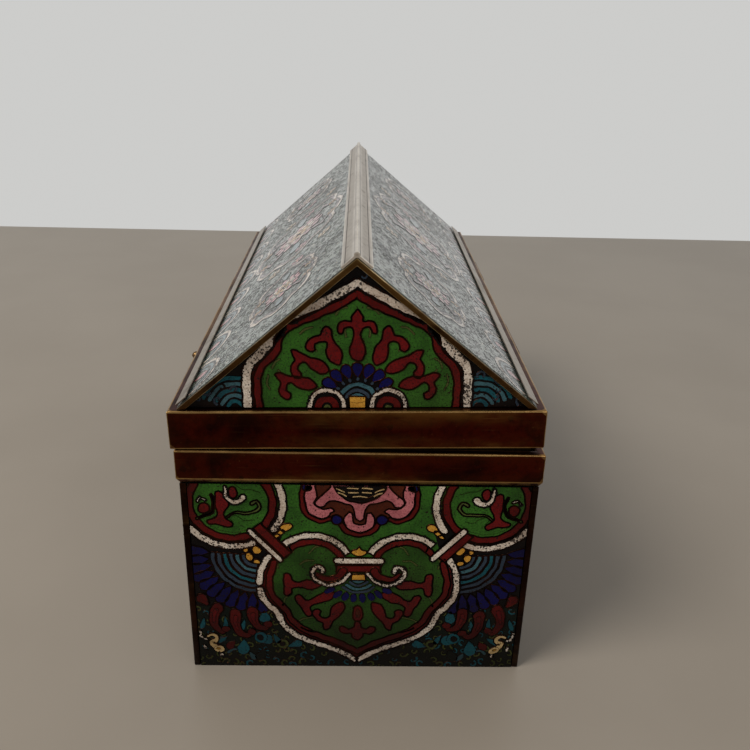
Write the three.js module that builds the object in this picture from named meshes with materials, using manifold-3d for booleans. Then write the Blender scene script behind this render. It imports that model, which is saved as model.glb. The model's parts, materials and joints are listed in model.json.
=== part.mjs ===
// Gable-lidded cloisonne casket: an oblong bronze box with enamelled walls and a roof-shaped lid.
// Millimetres, +Z up. The origin is the centre of the underside, X runs across the gable ends and
// Y along the ridge, with the show end at -Y, the hinges at +X and the lock plates at -X.
import * as THREE from "three";
import { mergeVertices } from "three/addons/utils/BufferGeometryUtils.js";
import Module from "manifold-3d";

// Driving dimensions
const WIDTH = 120; // across the rim bands
const LENGTH = 240; // along the rim bands
const GAP = 0.3; // kept between pieces that touch or are soldered together

// Base
const PANEL_H = 77.4; // enamelled wall, underside to rim band
const PANEL_T = 2.2;
const BODY_INSET = 0.8; // the walls stand this far inside the rim band
const CORNER_POST = 2.2;
const FLOOR_T = 2;
const BASE_BAND_H = 12.2;
const BASE_BAND_T = 3;
const BASE_BAND_BEVEL_X = 1;
const BASE_BAND_BEVEL_Z = 1.8;
const LIP_INSET = 4.2; // outer face of the inner lip, in from the rim band's outer face
const LIP_T = 1.4;
const LIP_RISE = 4; // above the seam
const LIP_DROP = 15.5; // below the seam

// Lid
const LID_BAND_H = 13.5;
const LID_BAND_T = 2;
const SHELF_T = 1.5; // flat shelf on top of the lid band, which carries the roof
const SHELF_W = 7;
const EDGE_BREAK = 0.35; // worn-off arris of both bands
const ROOF_INSET = 3; // foot of the roof, in from the band's outer face
const GABLE_INSET = 2.5; // face of the gable, in from the band's outer face
const ROOF_RISE = 49.1; // shelf to the meeting line of the two roof planes
const ROOF_T = 1.8;
const GABLE_T = 2;
const RAKE_INSET = 0.8; // face of the border strip that runs up the gable
const RAKE_W = 1.8;
const RIDGE_LEG = 5.4; // ridge cap, measured down each slope
const RIDGE_T = 0.8;
const RIDGE_BEAD_R = 0.9;
const EAVE_W = 4.2; // smooth strip along the foot of each slope
const EAVE_T = 0.5;
const LID_TILT = THREE.MathUtils.degToRad(1.04); // the lid rides up on its hinge side
const LID_SHIFT = 1; // and sits a little to the left

// Hinges
const HINGE_Y = 48; // from the middle of the box
const HINGE_L = 36;
const HINGE_R = 2.2;
const HINGE_OUT = 1.9; // axis, out from the base band
const HINGE_UP = 1.45; // axis, above the seam
const LEAF_T = 1.2;
const LEAF_H = 11.6;
const LEAF_CORNER_R = 3;
const PIN_R = 1;
const PIN_CLEARANCE = 0.12;
const KNUCKLE_CLEARANCE = 0.3;
const BASE_LEAF_DOWN = 0.4; // the base leaf starts this far below the axis
const LID_LEAF_UP = 0.3; // and the lid leaf this far above it
const PIN_OVERHANG = 1; // past the outer knuckles

// Lock plates and stud
const LOCK_W = 24;
const LOCK_H = 11;
const LOCK_T = 0.8;
const STAPLE_R = 2; // bend of the staple's wire
const STAPLE_WIRE_R = 0.75;
const STAPLE_LEG = 1;
const STAPLE_Z = 3.2; // from the seam edge of its plate
const STUD_Y = -67;
const STUD_R = 1.5;
const STUD_OUT = 1.8;
const STUD_DOWN = 2.4; // below the top of the lid band

// Derived places
const HALF_W = WIDTH / 2;
const HALF_L = LENGTH / 2;
const SEAM_Z = PANEL_H + BASE_BAND_H;
const ROOF_HALF_W = HALF_W - ROOF_INSET;
const ROOF_ANGLE = Math.atan2(ROOF_RISE, ROOF_HALF_W);
const ROOF_HALF_L = HALF_L - GABLE_INSET;
const FACETS = 24;

const wasm = await Module();
wasm.setup();

const bronze = { color: 0x4a2a18, roughness: 0.42, metalness: 1 };
const brass = { color: 0x9a7a45, roughness: 0.4, metalness: 1 };
const endEnamel = { color: 0x2f5a30, roughness: 0.4, metalness: 0.1 };
const wallEnamel = { color: 0x2c4f58, roughness: 0.4, metalness: 0.1 };
const roofEnamel = { color: 0x7c8a80, roughness: 0.35, metalness: 0.2 };

function piece(name, geometry, finish) {
  const mesh = new THREE.Mesh(geometry, new THREE.MeshStandardMaterial(finish));
  mesh.name = name;
  return mesh;
}

// Joins and cuts

function toSolid(geometry) {
  const bare = geometry.clone();
  bare.deleteAttribute("normal");
  bare.deleteAttribute("uv");
  const merged = mergeVertices(bare, 1e-4);
  return new wasm.Manifold(
    new wasm.Mesh({
      numProp: 3,
      vertProperties: merged.attributes.position.array,
      triVerts: new Uint32Array(merged.index.array),
    }),
  );
}

function fromSolid(solid) {
  const mesh = solid.getMesh();
  const geometry = new THREE.BufferGeometry();
  geometry.setAttribute(
    "position",
    new THREE.BufferAttribute(new Float32Array(mesh.vertProperties), 3),
  );
  geometry.setIndex(new THREE.BufferAttribute(new Uint32Array(mesh.triVerts), 1));
  geometry.computeVertexNormals();
  return geometry;
}

const join = (...geometries) =>
  fromSolid(geometries.map(toSolid).reduce((all, next) => all.add(next)));

const cut = (geometry, ...tools) =>
  fromSolid(tools.map(toSolid).reduce((rest, tool) => rest.subtract(tool), toSolid(geometry)));

// Building blocks

function block(sizeX, sizeY, sizeZ, x, y, z) {
  return new THREE.BoxGeometry(sizeX, sizeY, sizeZ).translate(x, y, z + sizeZ / 2);
}

// A mitred rectangular frame: the closed profile is given as [outset, z] and runs anticlockwise,
// with outset counted from the rectangle of halfX by halfY and negative inwards.
function mitredFrame(profile, halfX, halfY) {
  const core = 20; // keeps the profile clear of the turning axis
  const points = [...profile, profile[0]].map(
    ([outset, z]) => new THREE.Vector2((core + outset) * Math.SQRT2, z),
  );
  const frame = new THREE.LatheGeometry(points, 4, Math.PI / 4).rotateX(Math.PI / 2);
  const place = frame.attributes.position;
  for (let i = 0; i < place.count; i++) {
    const x = place.getX(i);
    const y = place.getY(i);
    place.setX(i, x + Math.sign(x) * (halfX - core));
    place.setY(i, y + Math.sign(y) * (halfY - core));
  }
  return frame;
}

function polygon(points) {
  return new THREE.Shape(points.map(([x, y]) => new THREE.Vector2(x, y)));
}

// Pushes an outline drawn as (X, Z) along Y, from y0 to y1.
function alongY(shape, y0, y1) {
  return new THREE.ExtrudeGeometry(shape, { depth: y1 - y0, bevelEnabled: false })
    .rotateX(Math.PI / 2)
    .translate(0, y1, 0);
}

// Pushes an outline drawn as (Y, Z) along X, from x0 to x1.
function alongX(shape, x0, x1) {
  return new THREE.ExtrudeGeometry(shape, { depth: x1 - x0, bevelEnabled: false, curveSegments: 6 })
    .rotateY(Math.PI / 2)
    .rotateX(Math.PI / 2)
    .translate(x0, 0, 0);
}

function rodAlongY(radius, y0, y1, x, z) {
  return new THREE.CylinderGeometry(radius, radius, y1 - y0, FACETS).translate(x, (y0 + y1) / 2, z);
}

// Base

function makeBase() {
  const base = new THREE.Group();
  const wallHalfW = HALF_W - BODY_INSET;
  const wallHalfL = HALF_L - BODY_INSET;
  const wallTop = PANEL_H - GAP;
  const endW = 2 * (wallHalfW - CORNER_POST - GAP);
  const sideL = 2 * (wallHalfL - CORNER_POST - GAP);

  for (const [name, side] of [["front", -1], ["back", 1]]) {
    const y = side * (wallHalfL - PANEL_T / 2);
    base.add(piece(`end_panel_${name}`, block(endW, PANEL_T, wallTop, 0, y, 0), endEnamel));
  }
  for (const [name, side] of [["left", -1], ["right", 1]]) {
    const x = side * (wallHalfW - PANEL_T / 2);
    base.add(piece(`side_panel_${name}`, block(PANEL_T, sideL, wallTop, x, 0, 0), wallEnamel));
  }
  for (const [end, sideY] of [["front", -1], ["back", 1]]) {
    for (const [name, sideX] of [["left", -1], ["right", 1]]) {
      const x = sideX * (wallHalfW - CORNER_POST / 2);
      const y = sideY * (wallHalfL - CORNER_POST / 2);
      const post = block(CORNER_POST, CORNER_POST, wallTop, x, y, 0);
      base.add(piece(`corner_post_${end}_${name}`, post, bronze));
    }
  }

  const floorW = 2 * (wallHalfW - PANEL_T - GAP);
  const floorL = 2 * (wallHalfL - PANEL_T - GAP);
  base.add(piece("base_plate", block(floorW, floorL, FLOOR_T, 0, 0, 0), bronze));

  const band = [
    [-BASE_BAND_BEVEL_X, PANEL_H],
    [0, PANEL_H + BASE_BAND_BEVEL_Z],
    [0, SEAM_Z - EDGE_BREAK],
    [-EDGE_BREAK, SEAM_Z],
    [-BASE_BAND_T, SEAM_Z],
    [-BASE_BAND_T, PANEL_H],
  ];
  base.add(piece("base_rim_band", mitredFrame(band, HALF_W, HALF_L), bronze));

  const lip = [
    [-LIP_INSET, SEAM_Z - LIP_DROP],
    [-LIP_INSET, SEAM_Z + LIP_RISE],
    [-LIP_INSET - LIP_T, SEAM_Z + LIP_RISE],
    [-LIP_INSET - LIP_T, SEAM_Z - LIP_DROP],
  ];
  base.add(piece("inner_lip", mitredFrame(lip, HALF_W, HALF_L), brass));
  return base;
}

// Lid, drawn with its underside at z = 0

// Heights are measured square to the roof planes, and these give their shares along X and Z.
const NORMAL_X = Math.sin(ROOF_ANGLE);
const NORMAL_Z = Math.cos(ROOF_ANGLE);
const ROOF_TOP = LID_BAND_H + ROOF_RISE;

function roofPanel(side) {
  const foot = LID_BAND_H + GAP;
  const outline = polygon([
    [side * ROOF_HALF_W, foot],
    [(side * GAP) / 2, ROOF_TOP],
    [(side * GAP) / 2, ROOF_TOP - ROOF_T / NORMAL_Z],
    [side * (ROOF_HALF_W - ROOF_T / NORMAL_X), foot],
  ]);
  return alongY(outline, -ROOF_HALF_L, ROOF_HALF_L);
}

// A gable's pieces lie between two distances from the middle of the box.
function atGable(outline, side, inner, outer) {
  return side < 0 ? alongY(outline, -outer, -inner) : alongY(outline, inner, outer);
}

function gablePanel(side) {
  const inset = ROOF_T + GAP;
  const halfW = ROOF_HALF_W - inset / NORMAL_X;
  const outline = polygon([
    [-halfW, LID_BAND_H + GAP],
    [halfW, LID_BAND_H + GAP],
    [0, ROOF_TOP - inset / NORMAL_Z],
  ]);
  return atGable(outline, side, ROOF_HALF_L - GABLE_T, ROOF_HALF_L);
}

function rakeBorder(side) {
  const foot = LID_BAND_H + GAP;
  const innerHalfW = ROOF_HALF_W - RAKE_W / NORMAL_X;
  const outline = polygon([
    [ROOF_HALF_W, foot],
    [0, ROOF_TOP],
    [-ROOF_HALF_W, foot],
    [-innerHalfW, foot],
    [0, ROOF_TOP - RAKE_W / NORMAL_Z],
    [innerHalfW, foot],
  ]);
  return atGable(outline, side, ROOF_HALF_L + GAP, HALF_L - RAKE_INSET);
}

function ridgeCap() {
  const run = RIDGE_LEG * NORMAL_Z;
  const drop = RIDGE_LEG * NORMAL_X;
  const foot = (side, height) => [
    side * (run + height * NORMAL_X),
    ROOF_TOP - drop + height * NORMAL_Z,
  ];
  const top = GAP + RIDGE_T;
  const outline = polygon([
    foot(1, top),
    [0, ROOF_TOP + top / NORMAL_Z],
    foot(-1, top),
    foot(-1, GAP),
    [0, ROOF_TOP + GAP / NORMAL_Z],
    foot(1, GAP),
  ]);
  const end = HALF_L - RAKE_INSET;
  const beadZ = ROOF_TOP + top / NORMAL_Z - RIDGE_BEAD_R / 2;
  return join(alongY(outline, -end, end), rodAlongY(RIDGE_BEAD_R, -end, end, 0, beadZ));
}

function eaveStrip(side) {
  const corner = (along, height) => [
    side * (ROOF_HALF_W - along * NORMAL_Z + height * NORMAL_X),
    LID_BAND_H + 2 * GAP + along * NORMAL_X + height * NORMAL_Z,
  ];
  const top = GAP + EAVE_T;
  const outline = polygon([corner(0, GAP), corner(0, top), corner(EAVE_W, top), corner(EAVE_W, GAP)]);
  return alongY(outline, -ROOF_HALF_L, ROOF_HALF_L);
}

// One half of the lock plate, drawn as (Y, Z) with its straight edge at z = 0. Its lobes are given
// as shares of the half width and of the height: the point that a curve bows to, and its end.
const LOCK_CORNER = [1, 0];
const LOCK_SHOULDER = { bow: [1.02, 0.42], end: [0.66, 0.46] };
const LOCK_LOBE = { bow: [0.8, 0.78], end: [0.4, 0.84] };
const LOCK_TIP = { bow: [0.16, 0.86], end: [0, 1] };

function lockOutline() {
  const at = (side, [out, up]) => [(side * out * LOCK_W) / 2, up * LOCK_H];
  const outline = new THREE.Shape();
  const curve = (side, bow, end) => outline.quadraticCurveTo(...at(side, bow), ...at(side, end));
  outline.moveTo(...at(-1, LOCK_CORNER));
  outline.lineTo(...at(1, LOCK_CORNER));
  for (const { bow, end } of [LOCK_SHOULDER, LOCK_LOBE, LOCK_TIP]) curve(1, bow, end);
  curve(-1, LOCK_TIP.bow, LOCK_LOBE.end);
  curve(-1, LOCK_LOBE.bow, LOCK_SHOULDER.end);
  curve(-1, LOCK_SHOULDER.bow, LOCK_CORNER);
  return outline;
}

// The plate with its staple, a wire loop that lies level; up is 1 for the lid's half, -1 below.
function lockPlate(faceX, edgeZ, up) {
  const plate = alongX(lockOutline(), faceX - LOCK_T, faceX);
  const bend = faceX - LOCK_T - STAPLE_LEG;
  const path = new THREE.CurvePath();
  const start = faceX - LOCK_T / 2;
  path.add(
    new THREE.LineCurve3(
      new THREE.Vector3(start, -STAPLE_R, STAPLE_Z),
      new THREE.Vector3(bend, -STAPLE_R, STAPLE_Z),
    ),
  );
  const turns = 8; // straight steps round the bend
  const onBend = (i) => {
    const angle = -Math.PI / 2 + (Math.PI * i) / turns;
    const x = bend - STAPLE_R * Math.cos(angle);
    return new THREE.Vector3(x, STAPLE_R * Math.sin(angle), STAPLE_Z);
  };
  for (let i = 0; i < turns; i++) path.add(new THREE.LineCurve3(onBend(i), onBend(i + 1)));
  path.add(
    new THREE.LineCurve3(
      new THREE.Vector3(bend, STAPLE_R, STAPLE_Z),
      new THREE.Vector3(start, STAPLE_R, STAPLE_Z),
    ),
  );
  const section = new THREE.Shape().absarc(0, 0, STAPLE_WIRE_R, 0, 2 * Math.PI);
  const wire = new THREE.ExtrudeGeometry(section, {
    extrudePath: path,
    steps: 36,
    curveSegments: 5,
    bevelEnabled: false,
  });
  const whole = join(plate, wire);
  if (up < 0) whole.rotateX(Math.PI);
  return whole.translate(0, 0, edgeZ);
}

function sideStud() {
  const rounds = 6;
  const profile = [new THREE.Vector2(0, 0)];
  for (let i = 0; i <= rounds; i++) {
    const angle = (i / rounds) * (Math.PI / 2);
    const r = i === rounds ? 0 : STUD_R * Math.cos(angle);
    profile.push(new THREE.Vector2(r, STUD_OUT * Math.sin(angle)));
  }
  return new THREE.LatheGeometry(profile, 16)
    .rotateZ(Math.PI / 2)
    .translate(-HALF_W - GAP, STUD_Y, LID_BAND_H - STUD_DOWN);
}

function makeLid() {
  const lid = new THREE.Group();
  const band = [
    [-EDGE_BREAK, 0],
    [0, EDGE_BREAK],
    [0, LID_BAND_H - EDGE_BREAK],
    [-EDGE_BREAK, LID_BAND_H],
    [-SHELF_W, LID_BAND_H],
    [-SHELF_W, LID_BAND_H - SHELF_T],
    [-LID_BAND_T, LID_BAND_H - SHELF_T],
    [-LID_BAND_T, 0],
  ];
  lid.add(piece("lid_rim_band", mitredFrame(band, HALF_W, HALF_L), bronze));
  for (const [name, side] of [["front", -1], ["back", 1]]) {
    lid.add(piece(`gable_panel_${name}`, gablePanel(side), endEnamel));
    lid.add(piece(`rake_border_${name}`, rakeBorder(side), brass));
  }
  for (const [name, side] of [["left", -1], ["right", 1]]) {
    lid.add(piece(`roof_panel_${name}`, roofPanel(side), roofEnamel));
    lid.add(piece(`eave_strip_${name}`, eaveStrip(side), brass));
  }
  lid.add(piece("ridge_cap", ridgeCap(), brass));
  lid.add(piece("lock_plate_lid", lockPlate(-HALF_W - GAP, GAP, 1), brass));
  lid.add(piece("side_stud", sideStud(), brass));
  return lid;
}

// Hinges: the leaves lie on the outer faces of the two bands, and the knuckles share one pin.

function leafOutline(height) {
  const half = HINGE_L / 2;
  const outline = new THREE.Shape();
  outline.moveTo(-half, 0);
  outline.lineTo(half, 0);
  outline.lineTo(half, height - LEAF_CORNER_R);
  outline.absarc(half - LEAF_CORNER_R, height - LEAF_CORNER_R, LEAF_CORNER_R, 0, Math.PI / 2);
  outline.absarc(LEAF_CORNER_R - half, height - LEAF_CORNER_R, LEAF_CORNER_R, Math.PI / 2, Math.PI);
  return outline;
}

// The three knuckles of one hinge, as [from, to] along the pin: the lid has the middle one.
const KNUCKLE_L = (HINGE_L - 2 * GAP) / 3;
const KNUCKLES = [0, 1, 2].map((i) => {
  const from = -HINGE_L / 2 + i * (KNUCKLE_L + GAP);
  return [from, from + KNUCKLE_L];
});

// A leaf whose back face is at x, running from z0 by height (down when negative).
function hingeLeaf(x, z0, height, axis, own) {
  const plate = alongX(leafOutline(Math.abs(height)), x, x + LEAF_T);
  if (height < 0) plate.rotateX(Math.PI);
  plate.translate(0, 0, z0);
  const reach = HINGE_R + KNUCKLE_CLEARANCE;
  const others = KNUCKLES.filter((_, i) => !own.includes(i));
  const room = others.map(([from, to]) => rodAlongY(reach, from - GAP, to + GAP, axis.x, axis.z));
  const knuckles = own.map((i) => rodAlongY(HINGE_R, ...KNUCKLES[i], axis.x, axis.z));
  const bore = rodAlongY(PIN_R + PIN_CLEARANCE, -HINGE_L, HINGE_L, axis.x, axis.z);
  return cut(join(cut(plate, ...room), ...knuckles), bore);
}

const box = new THREE.Group();
box.name = "cloisonne_enamel_box";
box.add(makeBase());

// The lid turns up about the left edge of the seam.
const seat = new THREE.Group();
seat.position.set(-HALF_W - LID_SHIFT, 0, SEAM_Z + GAP);
seat.rotation.y = -LID_TILT;
const lid = makeLid();
lid.position.x = HALF_W;
seat.add(lid);
box.add(seat);
box.updateMatrixWorld(true);

const hingeAxis = new THREE.Vector3(HALF_W + HINGE_OUT, 0, SEAM_Z + HINGE_UP);
const hingeAxisInLid = lid.worldToLocal(hingeAxis.clone());
for (const [name, side] of [["front", -1], ["back", 1]]) {
  const y = side * HINGE_Y;
  const leafX = HALF_W + GAP;
  const baseTop = hingeAxis.z - BASE_LEAF_DOWN;
  const baseLeaf = hingeLeaf(leafX, baseTop, BASE_LEAF_DOWN - LEAF_H, hingeAxis, [0, 2]);
  box.add(piece(`hinge_base_leaf_${name}`, baseLeaf.translate(0, y, 0), bronze));
  const lidFoot = hingeAxisInLid.z + LID_LEAF_UP;
  const lidLeaf = hingeLeaf(leafX, lidFoot, LEAF_H, hingeAxisInLid, [1]);
  lid.add(piece(`hinge_lid_leaf_${name}`, lidLeaf.translate(0, y, 0), bronze));
  const reach = HINGE_L / 2 + PIN_OVERHANG;
  const pin = rodAlongY(PIN_R, y - reach, y + reach, hingeAxis.x, hingeAxis.z);
  box.add(piece(`hinge_pin_${name}`, pin, brass));
}
box.add(piece("lock_plate_base", lockPlate(-HALF_W - GAP, SEAM_Z - GAP, -1), brass));

export default box;
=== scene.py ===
"""A gable-lidded cloisonne casket: worn bronze mounts round enamelled panels.

Metres, +Z up. X runs across the gable ends and Y along the ridge, with the show end at -Y.
The enamel pictures are drawn flat in millimetres, as (across, up), and are then laid on their panels:
each cell of enamel is a low block, and a wire follows its outline.
"""
import json
import math
import random

import bmesh
import bpy
from mathutils import Matrix, Vector
from mathutils.geometry import intersect_point_line

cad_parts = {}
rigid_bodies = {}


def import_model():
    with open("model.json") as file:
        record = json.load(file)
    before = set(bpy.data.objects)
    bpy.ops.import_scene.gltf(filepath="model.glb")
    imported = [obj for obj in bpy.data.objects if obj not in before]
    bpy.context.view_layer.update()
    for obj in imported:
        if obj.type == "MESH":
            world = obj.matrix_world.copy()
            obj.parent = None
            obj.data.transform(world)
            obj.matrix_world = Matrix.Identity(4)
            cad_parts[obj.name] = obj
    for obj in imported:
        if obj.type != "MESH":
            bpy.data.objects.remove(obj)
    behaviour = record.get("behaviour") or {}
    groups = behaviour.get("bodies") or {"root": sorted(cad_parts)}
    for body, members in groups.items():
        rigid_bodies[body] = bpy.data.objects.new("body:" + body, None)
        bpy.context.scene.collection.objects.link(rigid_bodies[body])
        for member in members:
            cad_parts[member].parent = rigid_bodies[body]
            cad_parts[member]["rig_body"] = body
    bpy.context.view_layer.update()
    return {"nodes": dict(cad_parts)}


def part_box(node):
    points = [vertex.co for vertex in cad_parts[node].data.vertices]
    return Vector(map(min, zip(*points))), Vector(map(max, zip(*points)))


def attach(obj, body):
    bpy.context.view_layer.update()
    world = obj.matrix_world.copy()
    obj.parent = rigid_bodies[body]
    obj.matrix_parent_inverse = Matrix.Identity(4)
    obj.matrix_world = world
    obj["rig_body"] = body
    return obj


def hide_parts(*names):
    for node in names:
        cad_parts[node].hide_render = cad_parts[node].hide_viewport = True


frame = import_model()

MM = 0.001
SEAM_GAP = 0.3 * MM
LID_TILT = math.radians(1.04)  # the lid rides up on its hinge side
LID_SHIFT = 1 * MM  # and sits a little to the left
LID_BAND_H = 13.5 * MM
ROOF_INSET = 3 * MM
ROOF_RISE = 49.1 * MM
GABLE_INSET = 2.5 * MM

CELL_BASE = 0.05  # mm, top of the lowest enamel above its panel
CELL_STEP = 0.08  # mm, from one level of the drawing to the next
WIRE_RISE = 0.07  # mm, a wire's crown above its enamel
PLAIN_RISE = 0.05  # mm, the same where the wires are left flat on top
FLUSH_STEP = 0.025  # mm, the same two on the roof, which is polished flat
FLUSH_RISE = 0.012
WIRE_W = 0.62  # mm
FINE_WIRE_W = 0.46  # mm, a wire thinner than this has a single sharp crown

BOTH = (1, -1)
LEFT = (1,)
RIGHT = (-1,)

_, rim_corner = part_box("base_rim_band")
HALF_W, HALF_L, SEAM_Z = rim_corner
_, post_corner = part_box("corner_post_back_right")
WALL_HALF_W, WALL_HALF_L, WALL_TOP = post_corner
lid_place = (
    Matrix.Translation((-HALF_W - LID_SHIFT, 0, SEAM_Z + SEAM_GAP))
    @ Matrix.Rotation(-LID_TILT, 4, "Y")
    @ Matrix.Translation((HALF_W, 0, 0))
)
roof_half_w = HALF_W - ROOF_INSET
roof_foot = LID_BAND_H + SEAM_GAP
roof_run = roof_half_w - SEAM_GAP / 2
roof_rise = ROOF_RISE - SEAM_GAP
roof_angle = math.atan2(roof_rise, roof_run)
slope_length = math.hypot(roof_rise, roof_run)


# ------------------------------------------------------------------ finishes

# Each colour of enamel, 0 to 255 a channel: fresh, and in its darker clouds and grain.
PALETTE = {
    "white": ((222, 208, 190), (126, 98, 76)),
    "red": ((94, 16, 13), (42, 6, 6)),
    "crimson": ((104, 18, 18), (46, 6, 9)),
    "pink": ((186, 108, 110), (112, 52, 58)),
    "green": ((53, 99, 31), (20, 38, 14)),
    "moss": ((45, 80, 25), (15, 25, 9)),
    "deep_green": ((11, 26, 17), (4, 9, 7)),
    "olive": ((78, 84, 40), (36, 44, 20)),
    "navy": ((14, 13, 76), (5, 5, 28)),
    "teal": ((24, 84, 92), (8, 34, 42)),
    "pale_teal": ((64, 100, 106), (36, 62, 70)),
    "slate": ((52, 64, 76), (30, 38, 48)),
    "gold": ((208, 154, 60), (148, 94, 30)),
    "cream": ((194, 164, 114), (134, 104, 64)),
    "russet": ((80, 32, 16), (44, 16, 10)),
    "ground": ((10, 7, 7), (5, 3, 3)),
    "roof": ((96, 110, 92), (22, 30, 25)),
}


def linear(colour):
    """A colour given as 0 to 255 a channel, in the renderer's own scale."""
    shares = [c / 255 for c in colour]
    return [s / 12.92 if s <= 0.04045 else ((s + 0.055) / 1.055) ** 2.4 for s in shares] + [1]


class Nodes:
    """A node tree, with short ways to add and join its nodes."""

    def __init__(self, tree):
        self.tree = tree
        self.column = 0

    def add(self, kind, values=None, **settings):
        node = self.tree.nodes.new(kind)
        node.location = (self.column * 180, 0)
        self.column += 1
        for key, value in settings.items():
            setattr(node, key, value)
        for socket, value in (values or {}).items():
            self.put(node.inputs[socket], value)
        return node

    def put(self, socket, value):
        if isinstance(value, bpy.types.NodeSocket):
            self.tree.links.new(value, socket)
        else:
            socket.default_value = value

    def math(self, operation, a, b=0.0, c=0.0):
        node = self.add("ShaderNodeMath", operation=operation)
        for socket, value in zip(node.inputs, (a, b, c)):
            self.put(socket, value)
        return node.outputs[0]

    def step(self, value, low, high):
        """0 below low, 1 above high, and smooth between them."""
        values = {"Value": value, "From Min": low, "From Max": high}
        return self.add("ShaderNodeMapRange", values, interpolation_type="SMOOTHSTEP").outputs[0]

    def mix(self, share, a, b, blend="MIX"):
        node = self.add("ShaderNodeMix", data_type="RGBA", blend_type=blend)
        for name, value in (("Factor_Float", share), ("A_Color", a), ("B_Color", b)):
            self.put(next(s for s in node.inputs if s.identifier == name), value)
        return next(s for s in node.outputs if s.identifier == "Result_Color")

    def noise(self, place, scale, detail=3.0, rough=0.55, **more):
        values = {"Vector": place, "Scale": scale, "Detail": detail, "Roughness": rough}
        return self.add("ShaderNodeTexNoise", {**values, **more}).outputs["Fac"]

    def stretched(self, place, scale):
        return self.add("ShaderNodeMapping", {"Vector": place, "Scale": scale}).outputs[0]


def new_group(name, inputs, outputs):
    """A shader group with named sockets, each given as (name, kind, value)."""
    group = bpy.data.node_groups.new(name, "ShaderNodeTree")
    for label, kind, value in inputs:
        socket = group.interface.new_socket(label, in_out="INPUT", socket_type=f"NodeSocket{kind}")
        socket.default_value = value
    for label, kind in outputs:
        group.interface.new_socket(label, in_out="OUTPUT", socket_type=f"NodeSocket{kind}")
    nodes = Nodes(group)
    return group, nodes, nodes.add("NodeGroupInput").outputs, nodes.add("NodeGroupOutput").inputs


FINISH_OUTPUTS = [("Colour", "Color"), ("Roughness", "Float"), ("Height", "Float")]


def open_pits(n, place, worn_here, pits):
    """1 in the open holes of the enamel, which come in two sizes and crowd where it is worn."""
    wobble = n.add("ShaderNodeTexNoise", {"Vector": place, "Scale": 900}).outputs["Color"]
    wobble = n.add("ShaderNodeVectorMath", {0: wobble, "Scale": 0.7 * MM}, operation="SCALE").outputs[0]
    shaken = n.add("ShaderNodeVectorMath", {0: place, 1: wobble}, operation="ADD").outputs[0]
    sizes = []
    for scale, least, most in ((620, 0.06, 0.26), (1250, 0.2, 0.34)):
        spots = n.add("ShaderNodeTexVoronoi", {"Vector": shaken, "Scale": scale})
        chance = n.add("ShaderNodeSeparateColor", {"Color": spots.outputs["Color"]}).outputs[0]
        share = n.math("ADD", least, n.math("MULTIPLY", worn_here, 0.5))
        chosen = n.math("LESS_THAN", chance, n.math("MULTIPLY", share, pits))
        radius = n.math("MULTIPLY", most, n.math("ADD", 0.6, chance))
        sizes.append(n.math("MULTIPLY", chosen, n.math("LESS_THAN", spots.outputs["Distance"], radius)))
    return n.math("MAXIMUM", *sizes)


def painted_shade_low_and_corners(n, place, worn_here):
    """How much painted shade darkens a spot: it is darkest in the corners of the box and towards its foot."""
    axes = n.add("ShaderNodeSeparateXYZ", {"Vector": place}).outputs
    from_side = n.math("SUBTRACT", HALF_W, n.math("ABSOLUTE", axes["X"]))
    from_end = n.math("SUBTRACT", HALF_L, n.math("ABSOLUTE", axes["Y"]))
    from_corner = n.math("ADD", n.math("MAXIMUM", from_side, from_end), n.math("MULTIPLY", worn_here, 3 * MM))
    corner = n.math("SUBTRACT", 1.0, n.step(from_corner, 1 * MM, 15 * MM))
    low = n.math("SUBTRACT", 1.0, n.step(axes["Z"], -8 * MM, 58 * MM))
    return n.math("MAXIMUM", n.math("MULTIPLY", corner, 0.75), low)


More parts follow.
